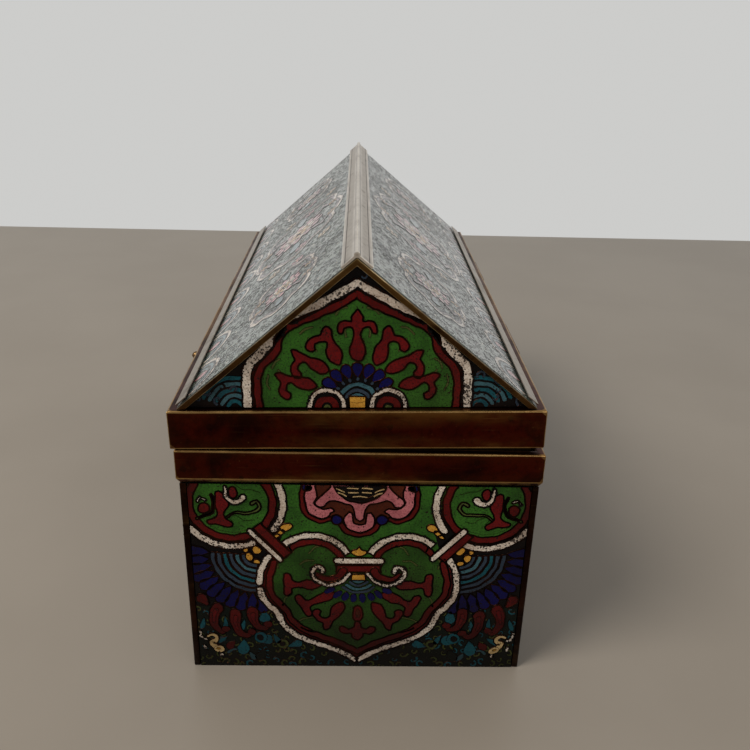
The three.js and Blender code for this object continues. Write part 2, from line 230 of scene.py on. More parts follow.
def pitted_enamel_group():
    """Old ground-down enamel: cloudy colour, grain, open pits, polishing lines, and painted shade in the
    corners and towards the foot.
    """
    inputs = [
        ("Colour", "Color", (1, 1, 1, 1)),
        ("Shade", "Color", (0, 0, 0, 1)),
        ("Pits", "Float", 0.5),
        ("Dirt", "Float", 0.5),
    ]
    group, n, given, out = new_group("pitted_enamel", inputs, FINISH_OUTPUTS + [("Polish", "Float")])
    place = n.add("ShaderNodeTexCoord").outputs["Object"]
    cloud = n.step(n.noise(place, 85, 4, 0.6), 0.36, 0.68)
    colour = n.mix(n.math("MULTIPLY", cloud, 0.55), given["Colour"], given["Shade"])
    grain = n.step(n.noise(place, 1700, 3, 0.75), 0.42, 0.68)
    colour = n.mix(n.math("MULTIPLY", grain, 0.7), colour, given["Shade"])

    worn_here = n.step(n.noise(place, 60, 3, 0.6), 0.42, 0.62)
    holes = open_pits(n, place, worn_here, given["Pits"])
    colour = n.mix(n.math("MULTIPLY", holes, 0.9), colour, linear((26, 15, 10)))

    lines = n.step(n.noise(n.stretched(place, (70, 70, 2600)), 1, 3, 0.7), 0.58, 0.76)
    colour = n.mix(n.math("MULTIPLY", lines, 0.55), colour, given["Shade"])
    grime = n.step(n.noise(place, 30, 5, 0.65), 0.5, 0.72)
    colour = n.mix(n.math("MULTIPLY", grime, 0.3), colour, linear((38, 24, 16)))
    # Painted shade: the colour is darkened almost to black in the box's corners and towards its foot.
    painted_shade = n.math("MULTIPLY", painted_shade_low_and_corners(n, place, worn_here), given["Dirt"])
    n.put(out["Colour"], n.mix(painted_shade, colour, linear((12, 7, 6))))

    rough = n.math("ADD", 0.24, n.math("MULTIPLY", grain, 0.14))
    rough = n.math("ADD", rough, n.math("MULTIPLY", holes, 0.4))
    n.put(out["Roughness"], n.math("ADD", rough, n.math("MULTIPLY", grime, 0.14)))
    height = n.math("SUBTRACT", n.math("MULTIPLY", grain, -0.4), holes)
    height = n.math("SUBTRACT", height, n.math("MULTIPLY", lines, 0.25))
    n.put(out["Height"], n.math("ADD", height, n.math("MULTIPLY", cloud, 0.5)))

    speck = n.step(n.noise(place, 760, 2, 0.6), 0.55, 0.62)
    dull = n.math("MAXIMUM", holes, n.math("MULTIPLY", speck, 0.5))
    n.put(out["Polish"], n.math("SUBTRACT", 1.0, dull))
    return group


def handled_places(n, place):
    """How much hands have rubbed a spot: in patches, and most in the middle of each side."""
    axes = n.add("ShaderNodeSeparateXYZ", {"Vector": place}).outputs
    across = n.math("DIVIDE", n.math("ABSOLUTE", axes["X"]), HALF_W)
    along = n.math("DIVIDE", n.math("ABSOLUTE", axes["Y"]), HALF_L)
    mid_side = n.math("SUBTRACT", 1.0, n.math("MINIMUM", across, along))
    touch = n.noise(n.stretched(place, (21, 21, 60)), 1, 5, 0.65)
    touch = n.math("ADD", touch, n.math("MULTIPLY", n.math("SUBTRACT", mid_side, 0.4), 0.2))
    return n.math("ADD", 0.08, n.math("MULTIPLY", n.step(touch, 0.46, 0.68), 0.85))


def aged_metal_group():
    """Handled metal: a dark mottled patina that is rubbed bright near the arrises, and on the ridge cap's
    crest is painted bright as a highlight.
    """
    inputs = [
        ("Metal", "Color", (1, 1, 1, 1)),
        ("Patina", "Color", (0, 0, 0, 1)),
        ("Thin", "Color", (1, 1, 1, 1)),
        ("Rubbed", "Color", (1, 1, 1, 1)),
        ("Tarnish", "Float", 0.5),
        ("Wear", "Float", 1.0),
    ]
    group, n, given, out = new_group("aged_metal", inputs, FINISH_OUTPUTS)
    place = n.add("ShaderNodeTexCoord").outputs["Object"]
    cloud = n.noise(place, 48, 6, 0.62, Distortion=0.6)
    low = n.math("SUBTRACT", 0.78, n.math("MULTIPLY", given["Tarnish"], 0.5))
    dark = n.step(cloud, n.math("SUBTRACT", low, 0.14), n.math("ADD", low, 0.1))
    colour = n.mix(dark, given["Metal"], given["Patina"])
    fine = n.noise(place, 520, 4, 0.6)
    colour = n.mix(n.math("MULTIPLY", n.step(fine, 0.45, 0.7), 0.45), colour, given["Patina"])

    spots = n.add("ShaderNodeTexVoronoi", {"Vector": place, "Scale": 210})
    chance = n.add("ShaderNodeSeparateColor", {"Color": spots.outputs["Color"]}).outputs[0]
    reach = n.math("MULTIPLY", n.math("SUBTRACT", chance, 0.72), 1.1)
    spot = n.math("LESS_THAN", spots.outputs["Distance"], n.math("MULTIPLY", reach, n.math("ADD", 0.5, fine)))
    colour = n.mix(n.math("MULTIPLY", spot, 0.7), colour, given["Patina"])

    # On the ridge cap this attribute also carries a painted highlight along the crest, so the thinning and
    # rubbing below paint that stripe bright.
    wear = n.add("ShaderNodeAttribute", attribute_name="wear").outputs["Fac"]
    thin = n.math("MULTIPLY", n.math("POWER", wear, 1.3), handled_places(n, place))
    thin = n.math("MULTIPLY", thin, given["Wear"])
    colour = n.mix(n.math("MINIMUM", thin, 0.8), colour, given["Thin"])
    broken = n.math("MULTIPLY", n.math("SUBTRACT", n.noise(place, 70, 6, 0.7), 0.5), 0.12)
    rubbed = n.step(n.math("ADD", wear, broken), 0.93, 0.985)
    rubbed = n.math("MULTIPLY", rubbed, given["Wear"])
    colour = n.mix(n.math("MULTIPLY", rubbed, 0.85), colour, given["Rubbed"])
    level_scratch = n.step(n.noise(n.stretched(place, (40, 40, 2400)), 1, 2, 0.6), 0.66, 0.8)
    long_scratch = n.step(n.noise(n.stretched(place, (900, 30, 900)), 1, 2, 0.6), 0.68, 0.82)
    scratch = n.math("MAXIMUM", level_scratch, long_scratch)
    n.put(out["Colour"], n.mix(n.math("MULTIPLY", scratch, 0.14), colour, given["Rubbed"]))

    rough = n.math("ADD", 0.3, n.math("MULTIPLY", dark, 0.12))
    rough = n.math("ADD", rough, n.math("MULTIPLY", n.math("ADD", fine, spot), 0.1))
    n.put(out["Roughness"], n.math("SUBTRACT", rough, n.math("MULTIPLY", rubbed, 0.08)))
    height = n.math("SUBTRACT", n.math("MULTIPLY", fine, 0.5), n.math("MULTIPLY", spot, 0.6))
    n.put(out["Height"], n.math("SUBTRACT", height, n.math("MULTIPLY", scratch, 0.3)))
    return group


PITTED_ENAMEL = pitted_enamel_group()
AGED_METAL = aged_metal_group()


def material(name, group, values, bump, metallic, sheen=0.5, coat=0.0):
    """A finish from a shader group; its coat is one number all over, or names a mask of the group's."""
    made = bpy.data.materials.new(name)
    made.use_nodes = True
    made.node_tree.nodes.clear()
    n = Nodes(made.node_tree)
    effect = n.add("ShaderNodeGroup", node_tree=group)
    for socket, value in values.items():
        effect.inputs[socket].default_value = value
    relief = n.add("ShaderNodeBump", {"Height": effect.outputs["Height"], "Strength": 0.7, "Distance": bump})
    shader = n.add("ShaderNodeBsdfPrincipled", {
        "Base Color": effect.outputs["Colour"],
        "Roughness": effect.outputs["Roughness"],
        "Metallic": metallic,
        "Specular IOR Level": sheen,
        "Coat Weight": effect.outputs[coat] if isinstance(coat, str) else coat,
        "Coat Roughness": 0.14,
        "Normal": relief.outputs[0],
    })
    n.add("ShaderNodeOutputMaterial", {"Surface": shader.outputs[0]})
    return made


# Colours that take only part of the painted shade.
LESS_PAINTED_SHADE = {"white": 0.4, "cream": 0.4, "teal": 0.6, "olive": 0.7}


def enamels(family, sheen, painted_shade, coat=0.0):
    """One material for each colour of the palette."""
    made = {}
    for name, (colour, shade) in PALETTE.items():
        values = {
            "Colour": linear(colour),
            "Shade": linear(shade),
            "Pits": 1.9 if name in ("white", "roof") else 0.6,
            "Dirt": painted_shade * LESS_PAINTED_SHADE.get(name, 1),
        }
        made[name] = material(f"{family}_{name}", PITTED_ENAMEL, values, 0.08 * MM, 0.0, sheen, coat)
    return made


def metal(name, colour, patina, thin, rubbed, tarnish, wear=1.0, coat=0.0):
    """A metal with its patina, which thins towards the arrises and is rubbed off on them."""
    values = {
        "Metal": linear(colour),
        "Patina": linear(patina),
        "Thin": linear(thin),
        "Rubbed": linear(rubbed),
        "Tarnish": tarnish,
        "Wear": wear,
    }
    return material(name, AGED_METAL, values, 0.06 * MM, 1.0, coat=coat)


ENAMELS = {
    "end_enamel": enamels("end", sheen=0.1, painted_shade=0.8),
    "wall_enamel": enamels("wall", sheen=0.1, painted_shade=0.6),
    "roof_enamel": enamels("roof", sheen=0.7, painted_shade=0.0, coat="Polish"),
}
BRONZE = metal("aged_bronze", (68, 18, 9), (28, 5, 5), (116, 78, 36), (176, 140, 86), tarnish=0.5)
POST = metal("post_bronze", (52, 26, 14), (18, 7, 5), (92, 64, 34), (176, 144, 92), tarnish=0.6)
BRASS = metal("worn_brass", (118, 92, 60), (70, 50, 34), (140, 112, 70), (220, 194, 140), tarnish=0.4)
RAKE = metal("rake_bronze", (74, 50, 26), (30, 14, 8), (104, 76, 40), (226, 202, 146), tarnish=0.45)
RIDGE = metal("ridge_brass", (184, 173, 160), (134, 123, 110), (240, 232, 222), (240, 228, 204), tarnish=0.2)
EAVE = metal("eave_brass", (172, 161, 148), (114, 104, 93), (168, 154, 132), (224, 206, 166), tarnish=0.3)
WIRE = metal("cell_wire", (50, 27, 16), (18, 9, 7), (50, 27, 16), (110, 80, 44), tarnish=0.6, wear=0.0)
ROOF_WIRE = metal(
    "roof_wire", (50, 36, 26), (20, 15, 12), (50, 36, 26), (110, 90, 60), tarnish=0.6, wear=0.0, coat=0.82
)
LINING = metal(
    "inside_metal", (128, 92, 52), (70, 46, 28), (140, 104, 60), (170, 132, 80), tarnish=0.6, wear=0.4
)


# ------------------------------------------------------------------ drawing in the flat

def arc(x, y, radius, start, end, step=1.15):
    """Points along an arc, with its angles in degrees."""
    turn = math.radians(end - start)
    count = max(5, math.ceil(abs(turn) * radius / step))
    angles = [math.radians(start) + turn * i / count for i in range(count + 1)]
    return [(x + radius * math.cos(a), y + radius * math.sin(a)) for a in angles]


def oval(x, y, across, up=None, lean=0, step=0.95):
    """A closed round or oval outline, from its two radii."""
    up = across if up is None else up
    count = max(10, round(2 * math.pi * max(across, up) / step))
    points = []
    for i in range(count):
        a = 2 * math.pi * i / count
        points.append((across * math.cos(a), up * math.sin(a)))
    return moved(points, x, y, lean)


def moved(points, x=0, y=0, turn=0, size=1):
    """Points turned by an angle in degrees, scaled, and then shifted."""
    c = math.cos(math.radians(turn)) * size
    s = math.sin(math.radians(turn)) * size
    return [(x + px * c - py * s, y + px * s + py * c) for px, py in points]


def flow(points, closed=False, step=1.15):
    """A smooth line through a few points."""
    count = len(points)
    result = []
    for i in range(count if closed else count - 1):
        if closed:
            p0, p1, p2, p3 = (points[(i + k) % count] for k in (-1, 0, 1, 2))
        else:
            p0, p1, p2, p3 = (points[min(max(i + k, 0), count - 1)] for k in (-1, 0, 1, 2))
        pieces = max(2, math.ceil(math.dist(p1, p2) / step))
        for k in range(pieces):
            t = k / pieces
            weights = (
                (-t + 2 * t**2 - t**3) / 2,
                (2 - 5 * t**2 + 3 * t**3) / 2,
                (t + 4 * t**2 - 3 * t**3) / 2,
                (t**3 - t**2) / 2,
            )
            corners = (p0, p1, p2, p3)
            result.append(tuple(sum(w * p[axis] for w, p in zip(weights, corners)) for axis in (0, 1)))
    if not closed:
        result.append(tuple(points[-1]))
    return result


class Strip(list):
    """The outline of a strip: tip, left side, far tip and right side, with rungs from side to side."""


def ribbon(path, width, end_width=None, rounded=True):
    """The outline of a strip that follows a path; its width may change along the way."""
    end_width = width if end_width is None else end_width
    last = len(path) - 1
    left, right = [], []
    for i, (x, y) in enumerate(path):
        ax, ay = path[max(i - 1, 0)]
        bx, by = path[min(i + 1, last)]
        length = math.dist((ax, ay), (bx, by)) or 1
        half = (width + (end_width - width) * i / last) / 2
        nx, ny = (ay - by) / length * half, (bx - ax) / length * half
        left.append((x + nx, y + ny))
        right.append((x - nx, y - ny))

    def cap(centre, edge):
        """The points of a half turn, clockwise, from an edge point to the one across."""
        ox, oy = edge[0] - centre[0], edge[1] - centre[1]
        turns = (math.pi * k / 4 for k in (1, 2, 3))
        return [
            (centre[0] + ox * math.cos(t) + oy * math.sin(t), centre[1] - ox * math.sin(t) + oy * math.cos(t))
            for t in turns
        ]

    if not rounded:
        return Strip([path[0]] + left + [path[-1]] + right[::-1])
    far, near = cap(path[-1], left[-1]), cap(path[0], right[0])
    return Strip([near[1], near[2]] + left + far + right[::-1] + [near[0]])


def ring(path, width):
    """A strip that closes on itself."""
    return ribbon(path + path[:2], width, rounded=False)


def petal(x, y, length, width, turn):
    """A drop that starts at a point and swells towards its far end."""
    count = max(12, round(length * 2.4))
    points = []
    for i in range(count):
        a = 2 * math.pi * i / count
        points.append((length * (1 - math.cos(a)) / 2, 0.65 * width * math.sin(a) * math.sin(a / 2)))
    return moved(points, x, y, turn)


# Leaves that grow from (0, 0) along the first axis.
HALF_FLEUR = [
    (0, 0), (2, 2), (5, 2.2), (8, 1.2), (9.2, 2.6), (8.8, 4.4), (7.2, 4.9), (6.9, 6.5), (8.2, 7.4), (10, 6.6),
    (11.2, 4.4), (11.3, 2.2), (12.4, 1.3), (13.6, 0), (12.2, -1.1), (8.8, -0.9), (5, -1.8), (2, -1.6),
]
TEE_FLEUR = [
    (0, 0), (1.6, 1.5), (4.5, 1.7), (7.4, 1), (9.2, 1.5), (9.6, 3.5), (10.5, 4.4), (11.7, 4), (12, 2),
    (11.7, 0), (12, -2), (11.7, -4), (10.5, -4.4), (9.6, -3.5), (9.2, -1.5), (7.4, -1), (4.5, -1.7),
    (1.6, -1.5),
]
FULL_FLEUR_SIDE = [
    (0, 0), (0.6, 1.6), (2.9, 2.4), (5.7, 1.9), (8.9, 1), (10.7, 1.5), (11.2, 2.8), (10.7, 4), (9.2, 4.6),
    (9.2, 5.8), (10.6, 6.1), (12.5, 5.2), (13.2, 3.4), (13, 1.9), (14.3, 1.8), (15.6, 0.9), (16.9, 0),
]
DROP_SIDE = [
    (0, 0), (1.2, 1.1), (2.6, 1.2), (3.6, 2.8), (2.4, 4.2), (2.6, 5.8), (4.2, 5.9), (5.4, 4), (5.4, 2),
    (6.6, 1.9), (8.2, 0),
]


def fleur(shape, x, y, turn, size=1, flip=1, step=0.95):
    """A leaf with curling arms, which grows from (x, y) along an angle."""
    return moved(flow([(a, flip * b) for a, b in shape], True, step), x, y, turn, size)


def sliver(x, y, turn, length, bow):
    """A thin bowed strip, for a vein or a blade of grass."""
    return ribbon(moved(flow([(0, 0), (length / 2, bow), (length, 0)]), x, y, turn), 0.6)


def both_sides(half):
    """A closed outline from its upper half, which starts and ends on the middle line."""
    return half + [(a, -b) for a, b in half[-2:0:-1]]


def oblong(half, low, high):
    """A rectangle about the middle of the picture, between two heights."""
    return [(-half, low), (half, low), (half, high), (-half, high)]


def across_middle(points):
    """A line that ends on the middle of the picture, carried on as its mirror image."""
    return points + [(-x, y) for x, y in points[-2::-1]]


def hand_drawn(x, y):
    """A point moved a little, as a line drawn by hand strays; near points stray together."""
    dx = 0.13 * math.sin(0.7 * x + 1.1 * y + 0.4) + 0.05 * math.sin(3.1 * y - 2.3 * x)
    dy = 0.13 * math.sin(1.2 * x - 0.6 * y + 2.1) + 0.05 * math.sin(3.3 * x + 2.7 * y)
    return x + dx, y + dy


class Picture:
    """Cells of enamel and loose wires, each at its level: a higher one lies over a lower one."""

    def __init__(self, chip_gap=0, step=CELL_STEP, rise=WIRE_RISE):
        self.step = step
        self.rise = rise
        self.cells = []
        self.lines = []
        self.shift = (0, 0)
        self.chip_gap = chip_gap
        self.chance = random.Random(7)

    def placed(self, points, side):
        dx, dy = self.shift
        return [hand_drawn(side * x + dx, y + dy) for x, y in points]

    def cell(self, colour, level, outline, sides=BOTH, wire=WIRE_W):
        for side in sides:
            shape = self.placed(outline, side)
            self.cells.append((colour, level, shape, isinstance(outline, Strip)))
            if wire:
                self.lines.append((level, shape, True, wire))
            if colour == "white" and self.chip_gap:
                self.chip(shape, level)

    def chip(self, outline, level):
        """Little dark flecks along the edge of a cell, where its enamel is lost."""
        gap = self.chance.uniform(0, self.chip_gap)
        for a, b in zip(outline, outline[1:]):
            gap -= math.dist(a, b)
            if gap > 0:
                continue
            gap = self.chance.uniform(0.3, 2) * self.chip_gap
            size = self.chance.uniform(0.25, 0.62)
            fleck = []
            for i in range(5):
                r = size * self.chance.uniform(0.6, 1.3)
                fleck.append((b[0] + r * math.cos(1.25 * i), b[1] + r * math.sin(1.25 * i)))
            self.cells.append(("ground", level + 1, fleck, False))

    def line(self, level, path, sides=BOTH, wire=WIRE_W):
        for side in sides:
            self.lines.append((level, self.placed(path, side), False, wire))


# ------------------------------------------------------------------ the ends' picture

ROUNDEL = (-42.7, 69.8)


def roundel(pic, plain=False, x=ROUNDEL[0], y=ROUNDEL[1], sides=BOTH, arcs=((40, -37), (-67, -145))):
    """A green disc in a red and a white ring, with a crimson stem and a white curl."""
    pic.cell("red", 2, oval(x, y, 15.1), sides)
    pic.cell("green", 3, oval(x, y, 12.5), sides)
    for start, end in arcs:
        pic.cell("white", 2, ribbon(arc(x, y, 17.2, start, end), 2.6), sides)
    rim = arc(x, y, 11.4, -160, -40)
    pic.line(3, rim, sides, 0.4)
    stem = [(-4.6, 4.2), (-2.7, 4.2), (-1.2, 1.8), (-0.8, -0.9), (-2.2, -3.4), (-2.4, -5.4), (0.3, -8.2),
            (-0.8, -9.5), (-4.3, -8.4), (-7.6, -8.2), (-8.2, -6.8), (-5.2, -5.4), (-4.7, -2.8), (-5.2, 0.2)]
    pic.cell("crimson", 4, moved(flow(stem, True), x, y), sides)
    curl = flow([(-1.6, 6.4), (-1.3, 2.6), (0.6, 0.7), (2.8, 0.9), (4, 2.4)], step=0.7)
    pic.cell("crimson", 4, oval(x + 0.8, y + 4.2, 1.5, 2.2), sides)
    pic.cell("white", 5, ribbon(moved(curl, x, y), 1.1, 2.4), sides)
    pic.cell("red", 4, oval(x - 9, y - 1.9, 1.9, 2.1), sides)
    rest = [(-6.4, 3.2), (-5.6, 0), (-6.6, -3.6), (-9.4, -5.2), (-11.6, -6)]
    pic.cell("olive", 3, ribbon(moved(flow(rest), x, y), 0.9), sides)
    if plain:
        return
    vine = [(-1.7, -5.5), (1, -3.7), (4.4, -3.8), (7.7, -3.3), (9.4, -1.3), (8.6, 0.8), (6.9, 0.1)]
    pic.cell("olive", 4, ribbon(moved(flow(vine), x, y), 0.7, 1.3), sides)
    lobe = [(0.4, -7.4), (-0.8, -5.9), (0.4, -4.7), (2.4, -5.2), (4.6, -6.8), (7.4, -6.4)]
    pic.line(4, moved(flow(lobe), x, y), sides, 0.45)
    hook = [(-11, 0.6), (-9.9, 2), (-8.2, 1.3)]
    pic.cell("white", 4, ribbon(moved(flow(hook), x, y), 0.8), sides)
    crown = [(0.5, 8), (4, 5.6), (7, 5.2), (9.6, 4.4)]
    pic.line(4, moved(flow(crown), x, y), sides, 0.45)


def strap(pic):
    """The two straps that tie the roundels to the heart; the red one is above on the left only."""
    pic.cell("red", 5, ribbon([(-34.4, 61.1), (-24.4, 49.2)], 2.9, rounded=False), LEFT)
    pic.cell("white", 6, ribbon([(-36.8, 59), (-26.9, 47.6)], 2.1), LEFT)
    pic.cell("red", 5, ribbon([(-37.2, 58.4), (-28.4, 48)], 3.2, rounded=False), RIGHT)
    pic.cell("white", 6, ribbon([(-35.6, 59.7), (-25.2, 48.3)], 2.1), RIGHT)


def gold_buds(pic):
    for x, y, across, up, lean in (
        (-24.6, 60.6, 2.1, 1.5, 25), (-26.4, 58.7, 1.5, 0.8, 35), (-27.8, 57.1, 1.2, 0.6, 35),
        (-34.8, 51.3, 1.4, 1.8, 30), (-37.4, 48.5, 1.4, 1.6, 10), (-35, 46.4, 1.3, 0.9, -20),
        (-38.4, 51, 1, 0.9, 40),
    ):
        pic.cell("gold", 4, oval(x, y, across, up, lean, 0.6), BOTH, 0.5)
    pic.cell("gold", 4, flow([(-2.2, 49.9), (-2.3, 51.3), (-0.8, 51.7), (0, 52.8), (0.8, 51.7), (2.3, 51.3),
                              (2.2, 49.9), (0, 49.2)], True, 0.6), LEFT, 0.5)
    pic.cell("gold", 6, ribbon([(-2.3, 40.4), (2.3, 40.4)], 2.6, rounded=False), LEFT, 0.5)


# The left half of the heart's white edge, from its shoulder to its point, and of the red line inside.
HEART_SIDE = [
    (-30.8, 48.6), (-32.7, 45.1), (-33.9, 41.3), (-34.3, 36.6), (-33.9, 33), (-32.9, 30.4), (-30.8, 27.4),
    (-28.6, 25), (-27.6, 22.8), (-26.6, 19.9), (-24.2, 16.7), (-20.8, 14), (-16.6, 11.8), (-10.8, 9.4),
    (-5.2, 6.7), (0, 3),
]
HEART_INSIDE = [
    (-29, 46), (-30.6, 40.5), (-30.9, 36.4), (-29.9, 32), (-27.2, 28.3), (-24.8, 25), (-23.9, 22.3),
    (-21.7, 19.5), (-18.2, 16.6), (-12.8, 13.9), (-7.1, 11.4), (0, 7.2),
]
HEART_LOBE = (-15.9, 43.9)  # the middle of the round lobe at its upper left


def heart(pic, plain=False):
    """The heart-shaped cartouche: white and red ribbons round a green field of crimson leaves."""
    lobe = arc(*HEART_LOBE, 13.5, 134, 27)
    inner_lobe = arc(*HEART_LOBE, 10.9, 152, 20)
    field = flow([(-29.4, 47), *HEART_INSIDE[1:]]) + [(0, 45), (-7, 45)] + arc(*HEART_LOBE, 12, 20, 165)
    pic.cell("moss", 2, field, BOTH, 0)
    side = flow(HEART_SIDE)
    pic.cell("red", 1.5, across_middle(side) + [(16, 48), (0, 46), (-16, 48)], LEFT, 0)
    if plain:
        pic.cell("white", 4, ribbon(across_middle(side), 2.5), LEFT)
    else:
        notch = [p for p in side if p[1] > 36.6]
        rest = [p for p in side if p[1] < 35.6]
        pic.cell("white", 4, ribbon(notch, 2.5), LEFT)
        pic.cell("white", 4, ribbon(rest, 2.6, 2.4, False), LEFT)
        pic.cell("white", 4, ribbon(side, 2.5, 2.4, False), RIGHT)
    pic.cell("red", 3, ribbon(across_middle(flow(HEART_INSIDE)), 2.3), LEFT)
    pic.cell("red", 3, ribbon(inner_lobe + [(-7, 45.4), (-6.4, 44)], 2.3), BOTH)
    pic.cell("white", 4, ribbon(lobe, 2.5, rounded=False), BOTH)
    pic.cell("red", 4, ribbon([(-7.6, 43.9), (7.6, 43.9)], 2.7, rounded=False), LEFT)
    pic.cell("white", 5, ribbon([(-7.6, 47.1), (7.6, 47.1)], 2.4), LEFT)
    hook = flow([(-3.2, 41.9), (-5.4, 38.9), (-8.8, 37.1), (-12.1, 37.4), (-15, 39.4), (-15.9, 41.9),
                 (-14.9, 44.2), (-12.8, 44.4), (-12.4, 42.7)], step=0.8)
    pic.cell("white", 6, ribbon(hook, 1.4, 1.7), BOTH, 0.5)
    crescent = flow([(-14.1, 41.4), (-12, 39.7), (-9, 39.7), (-6.4, 41.2), (-5.4, 43)])
    pic.cell("red", 5, ribbon(crescent, 1.4, 2.8), BOTH, 0.5)


def heart_leaves(pic):
    """Crimson leaves that fan out below the clasp, with blue petals and pale arcs over them."""
    pic.cell("crimson", 3, fleur(TEE_FLEUR, -12.8, 36.9, 180, 1.1), BOTH)
    pic.cell("crimson", 3, fleur(TEE_FLEUR, -8.2, 33.4, 207, 1.14), BOTH)
    pic.cell("crimson", 3, fleur(HALF_FLEUR, -5.2, 29.4, 242, 1.02, -1), BOTH)
    pic.cell("crimson", 3, oval(0, 24.4, 1.8, 3.6), LEFT)
    pic.cell("russet", 4, oval(0, 24.6, 0.9, 2.2), LEFT, 0.3)
    pic.cell("crimson", 3, fleur(both_sides(DROP_SIDE), 0, 21.2, 270, 1.08), LEFT)
    for x, y, lean in ((-10, 34.6, 60), (-7.2, 33, 40), (-4.5, 32, 20), (-1.6, 31.4, 6)):
        pic.cell("navy", 5, oval(x, y, 1.1, 1.9, -lean, 0.6), BOTH, 0.45)
    pale_arcs = ((7.2, "slate", 4), (5.7, "pale_teal", 5), (4.1, "slate", 5), (2.6, "pale_teal", 5))
    for radius, colour, level in pale_arcs:
        pic.cell(colour, level, ribbon(arc(0, 41, radius, 222, 318), 1), LEFT, 0.4)
    for x, y, turn, length in (
        (-26.4, 28, 60, 6), (-21.5, 20.5, 20, 6.5), (-14.5, 16.2, 160, 6), (-27.6, 44, 80, 5),
        (-20, 45.5, 20, 5), (-17, 50, 40, 5.5), (-22.5, 50.5, 100, 4),
    ):
        pic.cell("olive", 3, sliver(x, y, turn, length, 0.7), BOTH, 0.3)


def cloud(pic, plain=False):
    """The pink cloud that hangs from the top edge, with a dark half medallion in it."""
    outer = flow([(-19.2, 78), (-19.9, 73.8), (-19.9, 69.7), (-18.6, 65.6), (-15.6, 63.1), (-12.3, 62.3),
                  (-9.6, 63.2), (-7.4, 62), (-5.8, 59.6), (-3.6, 57.7), (0, 56.9)])
    pic.cell("red", 2, across_middle(outer), LEFT)
    inner = flow([(-17.6, 78), (-18.3, 73.8), (-18.3, 69.9), (-17, 66.4), (-14.6, 64.5), (-12, 64),
                  (-9.8, 64.8), (-6.4, 63.4), (-4.4, 60.8), (-2.6, 59.2), (0, 58.6)])
    pic.cell("russet", 3, across_middle(inner), LEFT)
    lobe = [(-15.2, 78), (-17.9, 77), (-18.1, 70), (-16.6, 66.3), (-13.7, 64.5), (-10.9, 64.7), (-9.7, 66.3),
            (-8.4, 67.1), (-9.6, 68.4), (-12.1, 67.9), (-14.3, 68.9), (-15.1, 70.7), (-14.3, 72.7)]
    pic.cell("pink", 4, flow(lobe, True), BOTH)
    bulb = [(-9, 78), (-11, 74.8), (-14, 72), (-14.8, 70.2), (-13.6, 68.8), (-11.8, 69), (-10.8, 70.7),
            (-9, 71.4), (-6, 70.6), (-3, 69.6), (-1.8, 67.6), (-1.5, 64.6), (0, 63.2)]
    pic.cell("pink", 5, across_middle(flow(bulb)), LEFT)
    skirt = flow([(-3.7, 66.8), (-5.2, 64), (-4.6, 61.2), (-2.6, 59.4), (0, 58.8)])
    notch = flow([(0, 61.8), (-1.7, 62.4), (-2.3, 64.4), (-2.6, 66.4)])
    pic.cell("pink", 4, across_middle(skirt) + [(-x, y) for x, y in notch[::-1]] + notch, LEFT)
    pic.cell("navy", 5, oval(-7.6, 63.9, 1.9), BOTH)
    pic.cell("ground", 6, oval(0, 79.8, 9.2), LEFT)
    pic.line(6, arc(0, 79.8, 7.9, 200, 340), LEFT, 0.5)
    if plain:
        pic.cell("cream", 7, ribbon(arc(0, 79.8, 5.4, 215, 325), 0.6), LEFT, 0.3)
        return
    for x, y, length, turn in (
        (-6.4, 75.4, 3, -28), (-5.9, 73.9, 3, -28), (-2.4, 76.2, 3.4, 0), (-2.2, 74.6, 3, 0), (0, 73, 4.4, 0),
    ):
        stroke = moved([(-length / 2, 0), (0, 0.1), (length / 2, 0)], x, y, turn)
        pic.cell("cream", 7, ribbon(stroke, 0.5), BOTH if x else LEFT, 0.3)
    pic.cell("navy", 4, oval(-17.5, 76.2, 1.7, 1.3), BOTH, 0.5)


def finger(pic, path, sides):
    """A red petal that narrows and ends in a curled tip."""
    line = flow(path, step=0.8)
    pic.cell("red", 3, ribbon(line, 4.4, 1.7), sides, 0.5)
    if len(line) > 6:
        pic.cell("red", 4, oval(*line[-1], 1.5, 1.3), sides, 0.4)
        pic.cell("crimson", 4, ribbon(line[2:len(line) // 2], 1.5, 0.9), sides, 0.25)


def fan(pic, x, y, start, end, sides):
    """Pale arcs and blue petals, spread round a corner."""
    for radius, colour in (
        (4.4, "slate"), (6.5, "pale_teal"), (8.6, "slate"), (10.7, "teal"), (12.8, "slate"), (14.9, "slate"),
    ):
        pic.cell(colour, 2, ribbon(arc(x, y, radius, start, end), 1.6, rounded=False), sides, 0.5)
    count = max(3, round((end - start) / 9.6))
    for i in range(count + 1):
        angle = start + (end - start) * i / count
        a = math.radians(angle)
        foot = (x + 15.8 * math.cos(a), y + 15.8 * math.sin(a))
        pic.cell("navy", 2, petal(*foot, 8.8, 4.4, angle), sides, 0.5)


CORNER_FINGERS = (
    [(-54.6, 30.6), (-53.2, 28.4)],
    [(-49.4, 26.6), (-50.9, 22.6), (-50.6, 18.6), (-48.4, 15.8), (-46.8, 17.2)],
    [(-43.2, 24), (-43.3, 19.4), (-42, 15.6), (-39.6, 14.2), (-37.6, 16)],
    [(-37.2, 25), (-36.8, 21), (-35.2, 18.2), (-32.8, 17.6), (-31.8, 19.4)],
)


